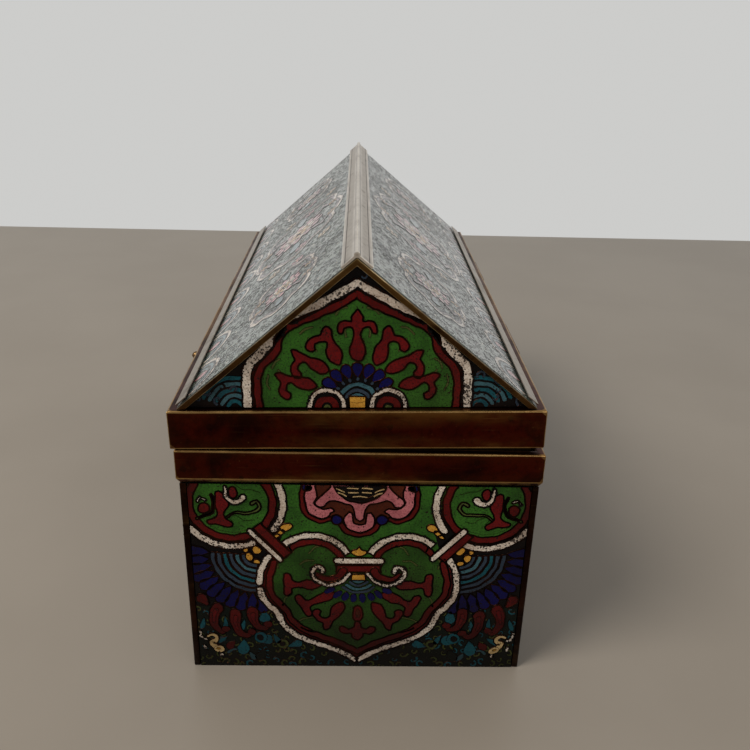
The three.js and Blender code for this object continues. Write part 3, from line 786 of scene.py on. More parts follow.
def corner_fan(pic):
    """A fan with red fingers below it, and drops and berries on the dark ground under them."""
    fan(pic, -35, 49, 176, 274, BOTH)
    for path in CORNER_FINGERS:
        finger(pic, path, BOTH)
    for colour, *drop in (
        ("teal", -54.2, 22.2, 5.4, 1.9, 255), ("teal", -46.8, 22.8, 7, 1.8, 268),
        ("teal", -40.2, 21.6, 5, 1.6, 262), ("teal", -32.8, 25.6, 5.4, 4, 268),
        ("teal", -35.6, 12, 5.4, 4.6, 8), ("teal", -52.4, 15.6, 4, 1.6, 300),
        ("teal", -46.6, 13.6, 4.4, 2, 215), ("teal", -40.4, 12.4, 7, 4.4, 262),
        ("teal", -25, 9.4, 5.6, 3.2, 20), ("pale_teal", -38.8, 6.6, 4, 2.2, 300),
        ("deep_green", -33, 8, 6, 3.6, 240), ("red", -44, 11.8, 4.6, 3, 235), ("teal", -30.2, 15, 5, 2, 300),
    ):
        pic.cell(colour, 2, petal(*drop), BOTH, 0.45)
    pic.cell("teal", 3, oval(-34.6, 13.4, 2.4), BOTH, 0.45)
    pic.cell("ground", 4, oval(-34.8, 13.4, 1.3), BOTH, 0.45)
    pic.cell("olive", 2, oval(-26.8, 10.4, 2.1), BOTH, 0.45)
    pic.cell("ground", 3, oval(-26.8, 10.4, 1), BOTH, 0.4)


def blossom(pic):
    """The cream bloom in each lower corner, with white curls about it."""
    curl = flow([(-53.5, 13.8), (-51.7, 14.5), (-50.3, 13.4), (-50.8, 11.8), (-52.4, 11.1), (-51.5, 9.6),
                 (-50.2, 8.6)], step=0.6)
    pic.cell("cream", 3, ribbon(curl, 1.2, 2.4), BOTH, 0.5)
    pic.cell("cream", 4, oval(-49.7, 8.1, 1.9, 1.5, -30), BOTH, 0.45)
    pic.cell("gold", 5, oval(-49.9, 8.3, 0.8, 0.5, -30, 0.5), BOTH, 0.25)
    hook = flow([(-56, 15.6), (-56.2, 14), (-55.2, 12.9), (-54, 12.5)], step=0.6)
    pic.cell("white", 3, ribbon(hook, 1.1, 0.8), BOTH, 0.4)
    pic.cell("white", 3, oval(-54.7, 8.7, 0.6, 1.2, 15, 0.6), BOTH, 0.4)
    pic.cell("white", 4, oval(-49, 5.5, 0.8, 0.7, 0, 0.5), BOTH, 0.4)
    pic.cell("pale_teal", 2, ribbon(flow([(-46.4, 6.6), (-45, 7.8), (-43.2, 7.6)]), 1.3, 0.8), BOTH, 0.4)


def scroll(size):
    """One small wire scroll of a few segments, for a patterned ground."""
    return [(size * r * math.cos(a), size * r * math.sin(a)) for r, a in
            ((0.26, 3.6), (0.46, 0), (0.68, 1.6), (0.84, 2.9), (1.2, 3.8))]


def scrolled_ground(pic, left, right, low, high, pitch, colours, seed, wire=0.42):
    """Rows of small scrolls and beads between two heights, each a little out of true."""
    chance = random.Random(seed)
    rows = max(1, round((high - low) / pitch))
    columns = max(1, round((right - left) / pitch))
    stray = pitch * 0.45
    for row in range(rows):
        for column in range(columns):
            x = left + (right - left) * (column + 0.5 * (row % 2) + 0.25) / columns
            x += chance.uniform(-stray, stray)
            y = low + (high - low) * (row + 0.5) / rows
            y += chance.uniform(-stray, stray)
            turn = chance.uniform(0, 360)
            size = pitch * chance.uniform(0.36, 0.48)
            pic.line(1, moved(scroll(size), x, y, turn), LEFT, wire)
            colour = chance.choice(colours)
            if colour:
                bead = [(0.4 * size, 0), (0, 0.3 * size), (-0.4 * size, 0), (0, -0.3 * size)]
                beside = (x - size * math.cos(turn), y - size * math.sin(turn))
                pic.cell(colour, 1, moved(bead, *beside), LEFT, 0)


def tendril(pic, level, colour, x, y, size, turn, sides=LEFT):
    """A curling shoot of enamel that thickens towards its foot."""
    curl = []
    for i in range(7):
        t = i / 6
        a = 5 * t
        r = size * (0.22 + 0.78 * t**1.4)
        curl.append((r * math.cos(a), r * math.sin(a)))
    shoot = ribbon(moved(curl, x, y, turn), 0.26 * size, 0.5 * size, rounded=False)
    pic.cell(colour, level, shoot, sides, 0.36)


def tendrils(pic, left, right, low, high, count, colours, seed, clear=None):
    """Shoots strewn between two heights, apart from each other and from what must be kept clear."""
    chance = random.Random(seed)
    kept = []
    for _ in range(count * 12):
        x, y = chance.uniform(left, right), chance.uniform(low, high)
        size = chance.uniform(1.2, 2)
        crowded = any(math.dist((x, y), other) < 2.9 for other in kept)
        if len(kept) >= count or crowded or clear and clear(x, y):
            continue
        kept.append((x, y))
        tendril(pic, 1, chance.choice(colours), x, y, size, chance.uniform(0, 360))


# The green ground between the roundels, the cloud and the heart.
MIDDLE_GROUND = [(-30, 79), (-25, 60), (-28, 50), (0, 40), (28, 50), (25, 60), (30, 79)]
FOOT_GROUND = [(-60, -1), (60, -1), (60, 27), (30, 27), (0, 4), (-30, 27), (-60, 27)]


def end_picture(plain):
    pic = Picture(0.8, CELL_STEP, PLAIN_RISE if plain else WIRE_RISE)
    pic.cell("ground", 0, oblong(60, -1, 79), LEFT, 0)
    pic.cell("green", 1, MIDDLE_GROUND, LEFT, 0)
    # The foot is laid in the darkest green: a dark ground, kept darker than the middle one as painted shade
    # towards the bottom.
    pic.cell("deep_green", 0.5, FOOT_GROUND, LEFT, 0)
    colours = ("teal", "olive", "olive", "olive", "teal")
    tendrils(pic, -57, 57, 0.5, 26, 200, colours, 5, lambda x, y: y > 4 + 0.75 * (abs(x) - 2))
    corner_fan(pic)
    roundel(pic, plain)
    cloud(pic, plain)
    heart(pic, plain)
    heart_leaves(pic)
    strap(pic)
    gold_buds(pic)
    if not plain:
        blossom(pic)
    return pic


# ------------------------------------------------------------------ the gables' picture

# The left half of the gable's white edge, below and above its corner, and of the red line inside.
GABLE_OUTER = [
    (-34.7, 13), (-34.6, 17), (-34.5, 24), (-33.5, 28.4), (-31, 31), (-27.9, 34.4), (-24.8, 38), (-23, 40.8),
]
GABLE_TOP = [(-20.4, 43.2), (-17.9, 44.4), (-13.5, 46.8), (-9.1, 49.5), (-4.1, 52.3), (0, 54.7)]
GABLE_RED = [
    (-31, 13), (-31.3, 19), (-31, 24.6), (-29.2, 28.4), (-25.6, 32), (-24.5, 34.6), (-24, 37), (-22.6, 39.4),
    (-19.8, 41.5), (-14.8, 43.7), (-9.1, 46.2), (-4.1, 48.7), (0, 51.4),
]
FAN_FOOT = 16.4  # height of the middle of the gable's fan


def gable_fan(pic):
    """Blue petals and pale arcs over a gold block, between two white hoops."""
    pic.cell("ground", 2, oval(0, 16.2, 12, 11.6), LEFT, 0)
    for i in range(9):
        angle = 14 + 152 * i / 8
        c, s = math.cos(math.radians(angle)), math.sin(math.radians(angle))
        pic.cell("navy", 3, petal(7.4 * c, FAN_FOOT + 7.4 * s, 5.4, 3.5, angle), LEFT, 0.5)
        pic.cell("slate", 4, oval(7.3 * c, FAN_FOOT + 7.3 * s, 0.7, 0.5, angle, 0.5), LEFT, 0.3)
    for radius, width, colour in ((5.6, 1.3, "pale_teal"), (3.7, 1.2, "slate"), (2.2, 1, "pale_teal")):
        pic.cell(colour, 4, ribbon(arc(0, 16.2, radius, 20, 160), width), LEFT, 0.4)
    pic.cell("gold", 5, [(-2.6, 13), (-2.6, 17.6), (2.6, 17.6), (2.6, 13)], LEFT, 0.5)
    pic.line(5, [(-2.4, 15.8), (0, 15.6), (2.4, 15.8)], LEFT, 0.3)
    pic.cell("ground", 4, oval(-9.7, 14.6, 5.4), BOTH, 0)
    pic.cell("white", 5, ribbon(arc(-9.7, 14.6, 5.3, -30, 210), 1.7), BOTH, 0.5)
    pic.cell("red", 5, ribbon(arc(-9.7, 13.9, 2.9, 0, 180), 2.1), BOTH, 0.45)
    pic.cell("olive", 5, oval(-9.7, 13.7, 1.3), BOTH, 0.4)


def gable_picture(plain):
    pic = Picture(0.6, CELL_STEP, PLAIN_RISE if plain else WIRE_RISE)
    red_edge = across_middle(flow(GABLE_RED))
    pic.cell("ground", 0, oblong(60, 12, 70), LEFT, 0)
    pic.cell("red", 0.5, across_middle(flow(GABLE_OUTER) + flow(GABLE_TOP)), LEFT, 0)
    pic.cell("green", 1, red_edge, LEFT, 0)
    pic.cell("red", 3, ribbon(red_edge, 2.4), LEFT)
    pic.cell("white", 3, ribbon(flow(GABLE_OUTER), 3.1), BOTH)
    pic.cell("white", 3, ribbon(across_middle(flow(GABLE_TOP)), 2.9), LEFT)
    pic.cell("crimson", 3, fleur(both_sides(FULL_FLEUR_SIDE), 0, 29.7, 90), LEFT)
    for x, y, turn, spread in ((-5.8, 28.4, 107, 1.12), (-8.8, 26.2, 149, 1.02), (-12.8, 21.2, 163, 1)):
        pic.cell("crimson", 3, fleur(HALF_FLEUR, x, y, turn, 0.98, spread), BOTH)
    gable_fan(pic)
    for radius, start, colour in (
        (2.4, 20, "teal"), (4.4, 20, "pale_teal"), (6.4, 60, "teal"), (8.4, 60, "pale_teal"),
        (10.4, 60, "teal"),
    ):
        pic.cell(colour, 0.8, ribbon(arc(-38.5, 13.6, radius, start, 160), 1.4), BOTH, 0.45)
    for x, y, turn, length in (
        (-3.6, 37.6, 78, 4), (-12.6, 33.2, 120, 4.5), (-20.8, 24.4, 150, 4.4), (-27.4, 20, 95, 5),
        (-17.4, 38.6, 30, 4.5), (-6.6, 45, 30, 4), (-26.4, 27.4, 50, 4),
    ):
        pic.cell("olive", 2, sliver(x, y, turn, length, 0.6), BOTH, 0.3)
    if not plain:
        tendrils(pic, -52, -37, 16, 26, 7, ("slate", "ground"), 8)
        tendrils(pic, 37, 52, 16, 26, 7, ("slate", "ground"), 9)
        tendrils(pic, -12, 12, 55, 59, 4, ("slate", "ground"), 10)
    return pic


# ------------------------------------------------------------------ the long walls' picture

WALL_PITCH = 82  # between the hearts
WALL_FINGERS = (
    [(-12.5, 27.5), (-13.6, 23), (-12, 18.6), (-9.4, 18.8)],
    [(-4.6, 25), (-5.2, 20), (-3.4, 16), (-1.4, 17)],
)


def between_hearts(pic):
    """A roundel with its two straps, a narrow fan below it, and fingers and drops under that."""
    fan(pic, 0, 49, 236, 304, LEFT)
    for path in WALL_FINGERS:
        pic.cell("red", 3, ribbon(flow(path, step=0.9), 3.4, 1.8), BOTH, 0.5)
    pic.cell("teal", 3, petal(0, 15, 7, 3.6, 270), LEFT, 0.5)
    for x, y, turn in ((-4.6, 11.5, 200), (-8.6, 13.6, 215), (-3, 7, 190)):
        pic.cell("teal", 2, petal(x, y, 5.4, 2.6, turn), BOTH, 0.45)
    roundel(pic, True, 0, 69.8, LEFT, ((-147, -33),))
    for side in BOTH:
        pic.cell("white", 6, ribbon([(side * 5.4, 58.6), (side * 14, 47.8)], 2.1), LEFT)
        pic.cell("red", 5, ribbon([(side * 7.4, 60), (side * 16.2, 49.4)], 2.6, rounded=False), LEFT)


def wall_picture():
    pic = Picture(2.5, CELL_STEP, PLAIN_RISE)
    pic.cell("deep_green", 0, oblong(119, -1, 79), LEFT, 0)
    tendrils(pic, -117, 117, 0.5, 26, 260, ("teal", "olive", "olive", "teal", "slate"), 21)
    for place in (-1, 0, 1):
        pic.shift = (place * WALL_PITCH, 0)
        pic.cell("green", 1, MIDDLE_GROUND, LEFT, 0)
        cloud(pic, True)
        heart(pic, True)
        heart_leaves(pic)
    for place in (-1.5, -0.5, 0.5, 1.5):
        pic.shift = (place * WALL_PITCH, 0)
        between_hearts(pic)
    return pic


# ------------------------------------------------------------------ the roof's picture

MEDALLION_QUARTER = [(0, 31), (10, 28.6), (14, 25.4), (22, 26), (30, 20.5), (31.6, 12), (37, 6), (39, 0)]
MEDALLION_SQUAT = 0.8
SCALLOP_PITCH = 26


def roof_picture(seed):
    pic = Picture(5, FLUSH_STEP, FLUSH_RISE)
    low = 4.8
    high = slope_length / MM - 5.8
    middle = (low + high) / 2 + 4
    pic.cell("roof", 0, oblong(119, 1, 79), LEFT, 0)
    scrolled_ground(pic, -116, 116, low, high, 3.1, ("teal", "white", None, "slate", "olive"), seed, 0.4)
    for k in range(-4, 5):
        x = k * SCALLOP_PITCH
        pic.cell("white", 2, ribbon(arc(x, low - 1, 11, 8, 172, 1.3), 2), LEFT, 0.5)
        pic.cell("pale_teal", 2, ribbon(arc(x, low - 1, 8.6, 4, 176, 1.3), 1.6), LEFT, 0.5)
        pic.cell("teal", 2, ribbon(arc(x, low - 1, 6.4, 0, 180, 1.3), 1.2), LEFT, 0.4)
        pic.cell("pink", 3, petal(x, low - 1, 6.6, 4.2, 90), LEFT, 0.45)
    half = MEDALLION_QUARTER + [(x, -y) for x, y in MEDALLION_QUARTER[-2::-1]]
    outline = [(x, y * MEDALLION_SQUAT) for x, y in half + [(-x, y) for x, y in half[-2:0:-1]]]
    for centre, size in ((0, 1), (-78, 0.62), (78, 0.62)):
        pic.shift = (centre, middle)
        shape = moved(flow(outline, True, 1.3), size=size)
        pic.cell("white", 3, ring(shape, 2), LEFT, 0.5)
        pic.cell("red", 2, ring(moved(shape, size=0.93), 1.8), LEFT, 0.5)
        lotus(pic, size)
        for turn in (62, 118, 242, 298):
            bloom(pic, *moved([(22 * size, 0)], turn=turn)[0], 0.8, "gold")
    for centre in (-41, 41):
        for dx, dy in ((0, 17), (0, -9), (-11, 4), (11, 4)):
            pic.shift = (centre + dx, middle + dy)
            bloom(pic, 0, 0, 1, "pink" if dx else "cream")
            pic.cell("green", 2, petal(3, -1, 4.4, 2, -40), LEFT, 0.4)
            pic.cell("teal", 2, petal(-3, 1, 4.4, 2, 140), LEFT, 0.4)
    pic.shift = (0, 0)
    return pic


def bloom(pic, x, y, size, colour):
    """A small flower of six petals."""
    for i in range(6):
        pic.cell(colour, 3, petal(x, y, 3.6 * size, 2.4 * size, 60 * i), LEFT, 0.4)
    pic.cell("gold", 4, oval(x, y, 0.8 * size, step=0.7), LEFT, 0.3)


def lotus(pic, size):
    """An open flower with leaves, filling a medallion."""
    for level, heart_radius, count, start, length, width, colour in (
        (5, 2, 12, 0, 12, 5, "pink"), (6, 1.5, 10, 18, 8.4, 4.2, "white"), (7, 1, 8, 0, 5.4, 3.2, "gold"),
    ):
        for i in range(count):
            angle = start + 360 * i / count
            a = math.radians(angle)
            x, y = size * heart_radius * math.cos(a), size * heart_radius * math.sin(a)
            pic.cell(colour, level, petal(x, y, size * length, size * width, angle), LEFT, 0.45)
    for turn in (0, 180):
        pic.cell("teal", 5, moved(petal(15, 0, 13, 6, 0), turn=turn, size=size), LEFT, 0.45)
    for turn, flip in ((40, 1), (140, -1), (220, 1), (320, -1)):
        leaf = fleur(HALF_FLEUR, 13, 0, 0, 0.8, flip, 1.1)
        pic.cell("crimson", 5, moved(leaf, turn=turn, size=size), LEFT, 0.45)


# ------------------------------------------------------------------ pictures made solid

def face_matrix(origin, across, up, place=Matrix.Identity(4)):
    """Takes a drawing, in millimetres across, up and outwards, to a panel's face."""
    across, up = Vector(across), Vector(up)
    out = across.cross(up)
    columns = Matrix((across, up, out)).transposed() * MM
    return place @ Matrix.Translation(origin) @ columns.to_4x4()


def trim(bm, border):
    """Cuts away what lies outside a convex border, whose corners run anticlockwise."""
    for (ax, ay), (bx, by) in zip(border, border[1:] + border[:1]):
        outwards = Vector((by - ay, ax - bx, 0))
        everything = bm.verts[:] + bm.edges[:] + bm.faces[:]
        bmesh.ops.bisect_plane(
            bm, geom=everything, dist=1e-5, plane_co=(ax, ay, 0), plane_no=outwards, clear_outer=True
        )


def as_object(name, bm, materials, smooth_below=None):
    """A finished mesh at the origin; faces are smooth where they meet at less than the given angle."""
    mesh = bpy.data.meshes.new(name)
    if smooth_below is not None:
        for face in bm.faces:
            face.smooth = True
        for edge in bm.edges:
            edge.smooth = not edge.is_manifold or edge.calc_face_angle(0) < math.radians(smooth_below)
    bm.to_mesh(mesh)
    bm.free()
    for entry in materials:
        mesh.materials.append(entry)
    made = bpy.data.objects.new(name, mesh)
    bpy.context.scene.collection.objects.link(made)
    return made


def lay_cells(name, pic, border, place, finishes):
    """The enamel of a picture, each cell a closed block that stands to its level."""
    colours = sorted({cell[0] for cell in pic.cells})
    bm = bmesh.new()
    level_of = bm.faces.layers.float.new("level")
    for colour, level, outline, is_strip in pic.cells:
        corners = [bm.verts.new((x, y, 0)) for x, y in outline]
        if is_strip:
            half = len(corners) // 2
            rungs = [(corners[i], corners[-i]) for i in range(1, half)]
            faces = [bm.faces.new((a, b, c, d)) for (a, d), (b, c) in zip(rungs, rungs[1:])]
            faces.append(bm.faces.new((corners[0], rungs[0][0], rungs[0][1])))
            faces.append(bm.faces.new((corners[half], rungs[-1][1], rungs[-1][0])))
        else:
            faces = [bm.faces.new(corners)]
            faces[0].normal_update()
        for face in faces:
            face.material_index = colours.index(colour)
            face[level_of] = level
    many_sided = [f for f in bm.faces if len(f.verts) > 4]
    bmesh.ops.triangulate(bm, faces=many_sided, ngon_method="EAR_CLIP")
    trim(bm, border)
    loose = [v for v in bm.verts if not v.link_faces]
    bmesh.ops.delete(bm, geom=loose, context="VERTS")
    raised = bmesh.ops.extrude_face_region(bm, geom=bm.faces[:])["geom"]
    for face in raised:
        if isinstance(face, bmesh.types.BMFace):
            for vert in face.verts:
                vert.co.z = CELL_BASE + pic.step * face[level_of]
    bmesh.ops.recalc_face_normals(bm, faces=bm.faces[:])
    bmesh.ops.transform(bm, matrix=place, verts=bm.verts[:])
    return as_object(name, bm, [finishes[c] for c in colours])


def runs_inside(path, closed, border):
    """The stretches of a line that lie within a convex border, each with whether it is closed."""
    links = list(zip(path, path[1:] + path[:1] if closed else path[1:]))
    runs = []
    whole = True
    for a, b in links:
        enters, leaves = 0.0, 1.0
        for (cx, cy), (dx, dy) in zip(border, border[1:] + border[:1]):
            from_a = (dx - cx) * (a[1] - cy) - (dy - cy) * (a[0] - cx)
            from_b = (dx - cx) * (b[1] - cy) - (dy - cy) * (b[0] - cx)
            if from_a < 0 and from_b < 0:
                leaves = -1.0
            elif from_a < 0:
                enters = max(enters, from_a / (from_a - from_b))
            elif from_b < 0:
                leaves = min(leaves, from_a / (from_a - from_b))
        if leaves <= enters:
            whole = False
            continue
        start, end = (tuple(p + (q - p) * t for p, q in zip(a, b)) for t in (enters, leaves))
        if runs and enters == 0 and math.dist(runs[-1][-1], start) < 1e-6:
            runs[-1].append(end)
        else:
            runs.append([start, end])
        whole = whole and enters == 0 and leaves == 1
    if closed and whole:
        return [(runs[0][:-1], True)]
    if closed and len(runs) > 1 and math.dist(runs[-1][-1], runs[0][0]) < 1e-6:
        runs[0] = runs.pop() + runs[0][1:]
    return [(run, False) for run in runs]


def thinned(path, least=0.12):
    """A line without the points that all but fall on the one before."""
    kept = [path[0]]
    for point in path[1:]:
        if math.dist(point, kept[-1]) > least:
            kept.append(point)
    return kept


def wire_section(width, height, rise):
    """The outline of a wire, cut across: how far to each side, and how high above the plate."""
    half, crown, foot = width / 2, height + rise, -0.05
    if rise != FLUSH_RISE and width < FINE_WIRE_W:
        return [(half, foot), (0, crown), (-half, foot)]
    if rise == WIRE_RISE:
        return [(half, foot), (half, height), (0, crown), (-half, height), (-half, foot)]
    return [(half, foot), (half, crown), (-half, crown), (-half, foot)]


def add_wire(bm, path, closed, section):
    """A wire on edge along a line: it stands on the plate, with a low crown over its enamel."""
    path = thinned(path)
    count = len(path)
    if closed and math.dist(path[0], path[-1]) < 0.12:
        path.pop()
        count -= 1
    if count < (3 if closed else 2):
        return
    rings = []
    for i, (x, y) in enumerate(path):
        before = path[i - 1] if closed or i else path[0]
        after = path[(i + 1) % count] if closed or i < count - 1 else path[-1]
        turns = []
        for (ax, ay), (bx, by) in ((before, (x, y)), ((x, y), after)):
            length = math.dist((ax, ay), (bx, by))
            if length:
                turns.append(((ay - by) / length, (bx - ax) / length))
        nx, ny = (sum(t[axis] for t in turns) for axis in (0, 1))
        length = math.hypot(nx, ny)
        if length < 0.5:
            nx, ny = turns[0]
            length = 1
        nx, ny = nx / length, ny / length
        reach = 1 / max(0.6, nx * turns[0][0] + ny * turns[0][1])
        rings.append([bm.verts.new((x + nx * reach * a, y + ny * reach * a, z)) for a, z in section])
    sides = len(section)
    for i in range(count if closed else count - 1):
        one, two = rings[i], rings[(i + 1) % count]
        for k in range(sides):
            bm.faces.new((one[k], one[(k + 1) % sides], two[(k + 1) % sides], two[k]))
    if not closed:
        bm.faces.new(rings[0])
        bm.faces.new(rings[-1])


def lay_wires(name, pic, border, place, finish):
    """The wires of a picture, cut off at its border."""
    bm = bmesh.new()
    for level, path, closed, width in pic.lines:
        section = wire_section(width, CELL_BASE + pic.step * level, pic.rise)
        for run, whole in runs_inside(path, closed, border):
            add_wire(bm, run, whole, section)
    bmesh.ops.recalc_face_normals(bm, faces=bm.faces[:])
    bmesh.ops.transform(bm, matrix=place, verts=bm.verts[:])
    return as_object(name, bm, [finish], 75)


def lay_picture(name, pic, border, place, body, slot):
    cells = lay_cells(f"{name}_enamel", pic, border, place, ENAMELS[slot])
    wires = lay_wires(f"{name}_wires", pic, border, place, ROOF_WIRE if slot == "roof_enamel" else WIRE)
    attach(cells, body)
    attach(wires, body)


# ------------------------------------------------------------------ worn metalwork

SHARP = math.radians(25)


def merged_copy(node):
    """A CAD node's mesh with its corners joined and its flat sides whole again."""
    bm = bmesh.new()
    bm.from_mesh(frame["nodes"][node].data)
    bmesh.ops.remove_doubles(bm, verts=bm.verts[:], dist=0.01 * MM)
    bmesh.ops.dissolve_limit(
        bm, angle_limit=math.radians(0.5), use_dissolve_boundaries=False, verts=bm.verts[:], edges=bm.edges[:]
    )
    return bm


def long_arrises(bm):
    """The ends of each sharp edge, and for the long ones the planes through them that face inwards."""
    ends, guides = [], set()
    for edge in bm.edges:
        if not edge.is_manifold or edge.calc_face_angle() < SHARP:
            continue
        a, b = (v.co.copy() for v in edge.verts)
        ends.append((a, b))
        if (b - a).length < 4 * MM:
            continue
        for face in edge.link_faces:
            inwards = (b - a).cross(face.normal).normalized()
            if inwards.dot(face.calc_center_median() - a) < 0:
                inwards = -inwards
            guides.add(tuple(round(c, 3) for c in inwards) + (round(inwards.dot(a) / MM, 1),))
    return ends, sorted(guides)


def mark_wear_and_crest_highlight(bm, arrises, reach):
    """Writes how near each vertex is to an arris, so that the finish can be rubbed bright there; on the ridge
    cap this also paints a highlight along its crest.
    """
    wear = bm.verts.layers.float.new("wear")
    for vert in bm.verts:
        nearest = reach
        for a, b in arrises:
            spot, share = intersect_point_line(vert.co, a, b)
            spot = a if share < 0 else b if share > 1 else spot
            nearest = min(nearest, (vert.co - spot).length)
        vert[wear] = 1 - nearest / reach


def worn_piece(node, finish, radius, reach):
    """A metal node with rounded, rubbed arrises, in place of the CAD one; the ridge cap also gets a painted
    highlight along its crest.
    """
    bm = merged_copy(node)
    arrises, guides = long_arrises(bm)
    edges = [e for e in bm.edges if e.is_manifold and e.calc_face_angle() > SHARP]
    bmesh.ops.bevel(
        bm, geom=edges, offset=radius, segments=2, profile=0.5, affect="EDGES", material=-1,
        clamp_overlap=True, loop_slide=False,
    )
    for x, y, z, along in guides:
        inwards = Vector((x, y, z))
        for share in (0.3, 1):
            everything = bm.verts[:] + bm.edges[:] + bm.faces[:]
            place = inwards * (along * MM + share * reach)
            bmesh.ops.bisect_plane(bm, geom=everything, dist=1e-6, plane_co=place, plane_no=inwards)
    # The ridge cap's crest is marked like an arris, so a bright stripe is painted along it: a painted
    # highlight as well as wear.
    if node == "ridge_cap":
        top = max(bm.verts, key=lambda v: v.co.z).co
        arrises.append((Vector((top.x, -HALF_L, top.z)), Vector((top.x, HALF_L, top.z))))
    mark_wear_and_crest_highlight(bm, arrises, reach)
    bm.normal_update()
    bmesh.ops.triangulate(bm, faces=[f for f in bm.faces if len(f.verts) > 4], ngon_method="EAR_CLIP")
    made = as_object(f"{node}_worn", bm, [finish], 40)
    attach(made, frame["nodes"][node]["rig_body"])
    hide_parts(node)


def panel(node, ground, slot):
    """An enamelled plate: dark ground outside, and plain metal within the box."""
    bm = merged_copy(node)
    box_middle = Vector((0, 0, 60 * MM if node.startswith(("end", "side")) else SEAM_Z))
    for face in bm.faces:
        inwards = box_middle - face.calc_center_median()
        face.material_index = 1 if face.normal.dot(inwards) > 0 else 0
    bmesh.ops.triangulate(bm, faces=bm.faces[:])
    made = as_object(f"{node}_plate", bm, [ENAMELS[slot][ground], LINING])
    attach(made, frame["nodes"][node]["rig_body"])
    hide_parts(node)


def make_panels():
    for node in ("end_panel_front", "end_panel_back", "gable_panel_front", "gable_panel_back"):
        panel(node, "ground", "end_enamel")
    for node in ("side_panel_left", "side_panel_right"):
        panel(node, "ground", "wall_enamel")
    for node in ("roof_panel_left", "roof_panel_right"):
        panel(node, "roof", "roof_enamel")


# What a node's name holds, its finish and slot, and in mm its round arris and the reach of its wear, which on
# the ridge cap is also the reach of the painted highlight along its crest.
METALWORK = (
    ("rim_band", BRONZE, "aged_bronze", 0.35, 6),
    ("corner_post", POST, "aged_bronze", 0.35, 0.9),
    ("hinge_pin", BRASS, "worn_brass", 0.1, 0.6),
    ("side_stud", BRASS, "worn_brass", 0.1, 0.6),
    ("hinge_", BRONZE, "aged_bronze", 0.15, 1.5),
    ("rake_border", RAKE, "worn_brass", 0.25, 3),
    ("lock_plate", BRASS, "worn_brass", 0.12, 1),
    ("ridge_cap", RIDGE, "worn_brass", 0.15, 1.6),
    ("eave_strip", EAVE, "worn_brass", 0.15, 1.2),
    ("inner_lip", BRASS, "worn_brass", 0.15, 1.2),
    ("base_plate", LINING, "aged_bronze", 0.2, 2),
)


def make_metalwork():
    for node in frame["nodes"]:
        fitting = next((row for row in METALWORK if row[0] in node), None)
        if fitting:
            _, finish, slot, radius, reach = fitting
            worn_piece(node, finish, radius * MM, reach * MM)


def make_rivets(node, side, out, up):
    """Two low rivets on an upright fitting, out from its middle.

    They stand up from its lower edge, or where up is negative, down from its upper edge.
    """
    cad = frame["nodes"][node]
    low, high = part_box(node)
    middle = (low[1] + high[1]) / 2
    z = (low[2] if up > 0 else high[2]) + up
    face = max((p for p in cad.data.polygons if p.normal.x * side > 0.9), key=lambda p: p.area)
    x = face.center.x + face.normal.z / face.normal.x * (face.center.z - z)
    bm = bmesh.new()
    for y in (middle - out, middle + out):
        place = Matrix.Translation((x, y, z)) @ Matrix.Diagonal((0.4, 1, 1, 1))
        bmesh.ops.create_uvsphere(bm, u_segments=18, v_segments=12, radius=1 * MM, matrix=place)
    rivets = as_object(f"{node}_rivets", bm, [BRASS], 40)
    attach(rivets, cad["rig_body"])


def make_all_rivets():
    for end in ("front", "back"):
        make_rivets(f"hinge_lid_leaf_{end}", 1, 12 * MM, -3.4 * MM)
        make_rivets(f"hinge_base_leaf_{end}", 1, 12 * MM, 3.4 * MM)
    make_rivets("lock_plate_base", -1, 8.2 * MM, -2.2 * MM)
    make_rivets("lock_plate_lid", -1, 8.2 * MM, 2.2 * MM)


def make_ridge_shade_lines():
    """Two fine dark lines along each side of the ridge cap: painted shade beside its bead and along its edge.
    """
    slope = math.atan2(ROOF_RISE, roof_half_w)
    c, s = math.cos(slope), math.sin(slope)
    peak = (0, 0, LID_BAND_H + ROOF_RISE + 1.1 * MM / c)
    half = HALF_L / MM - 1.4
    for name, side in (("left", -1), ("right", 1)):
        shade_line = Picture(0, FLUSH_STEP, FLUSH_RISE)
        shade_line.line(0, [(-half, -1.1), (half, -1.1)], LEFT, 0.3)
        shade_line.line(0, [(-half, -4.9), (half, -4.9)], LEFT, 0.25)
        place = face_matrix(peak, (0, side, 0), (-side * c, 0, s), lid_place)
        line = lay_wires(f"{name}_ridge_shade_lines", shade_line, oblong(half, -6, 0), place, RAKE)
        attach(line, "lid")


# ------------------------------------------------------------------ everything in its place

def lay_base_pictures():
    low, high = 0.4, WALL_TOP / MM - 0.1
    end_border = oblong(WALL_HALF_W / MM - 2.5, low, high)
    front = face_matrix((0, -WALL_HALF_L, 0), (1, 0, 0), (0, 0, 1))
    back = face_matrix((0, WALL_HALF_L, 0), (-1, 0, 0), (0, 0, 1))
    lay_picture("front_end", end_picture(False), end_border, front, "base", "end_enamel")
    lay_picture("back_end", end_picture(True), end_border, back, "base", "end_enamel")

    wall_border = oblong(WALL_HALF_L / MM - 2.5, low, high)
    left = face_matrix((-WALL_HALF_W, 0, 0), (0, -1, 0), (0, 0, 1))
    right = face_matrix((WALL_HALF_W, 0, 0), (0, 1, 0), (0, 0, 1))
    walls = wall_picture()
    lay_picture("left_wall", walls, wall_border, left, "base", "wall_enamel")
    lay_picture("right_wall", walls, wall_border, right, "base", "wall_enamel")


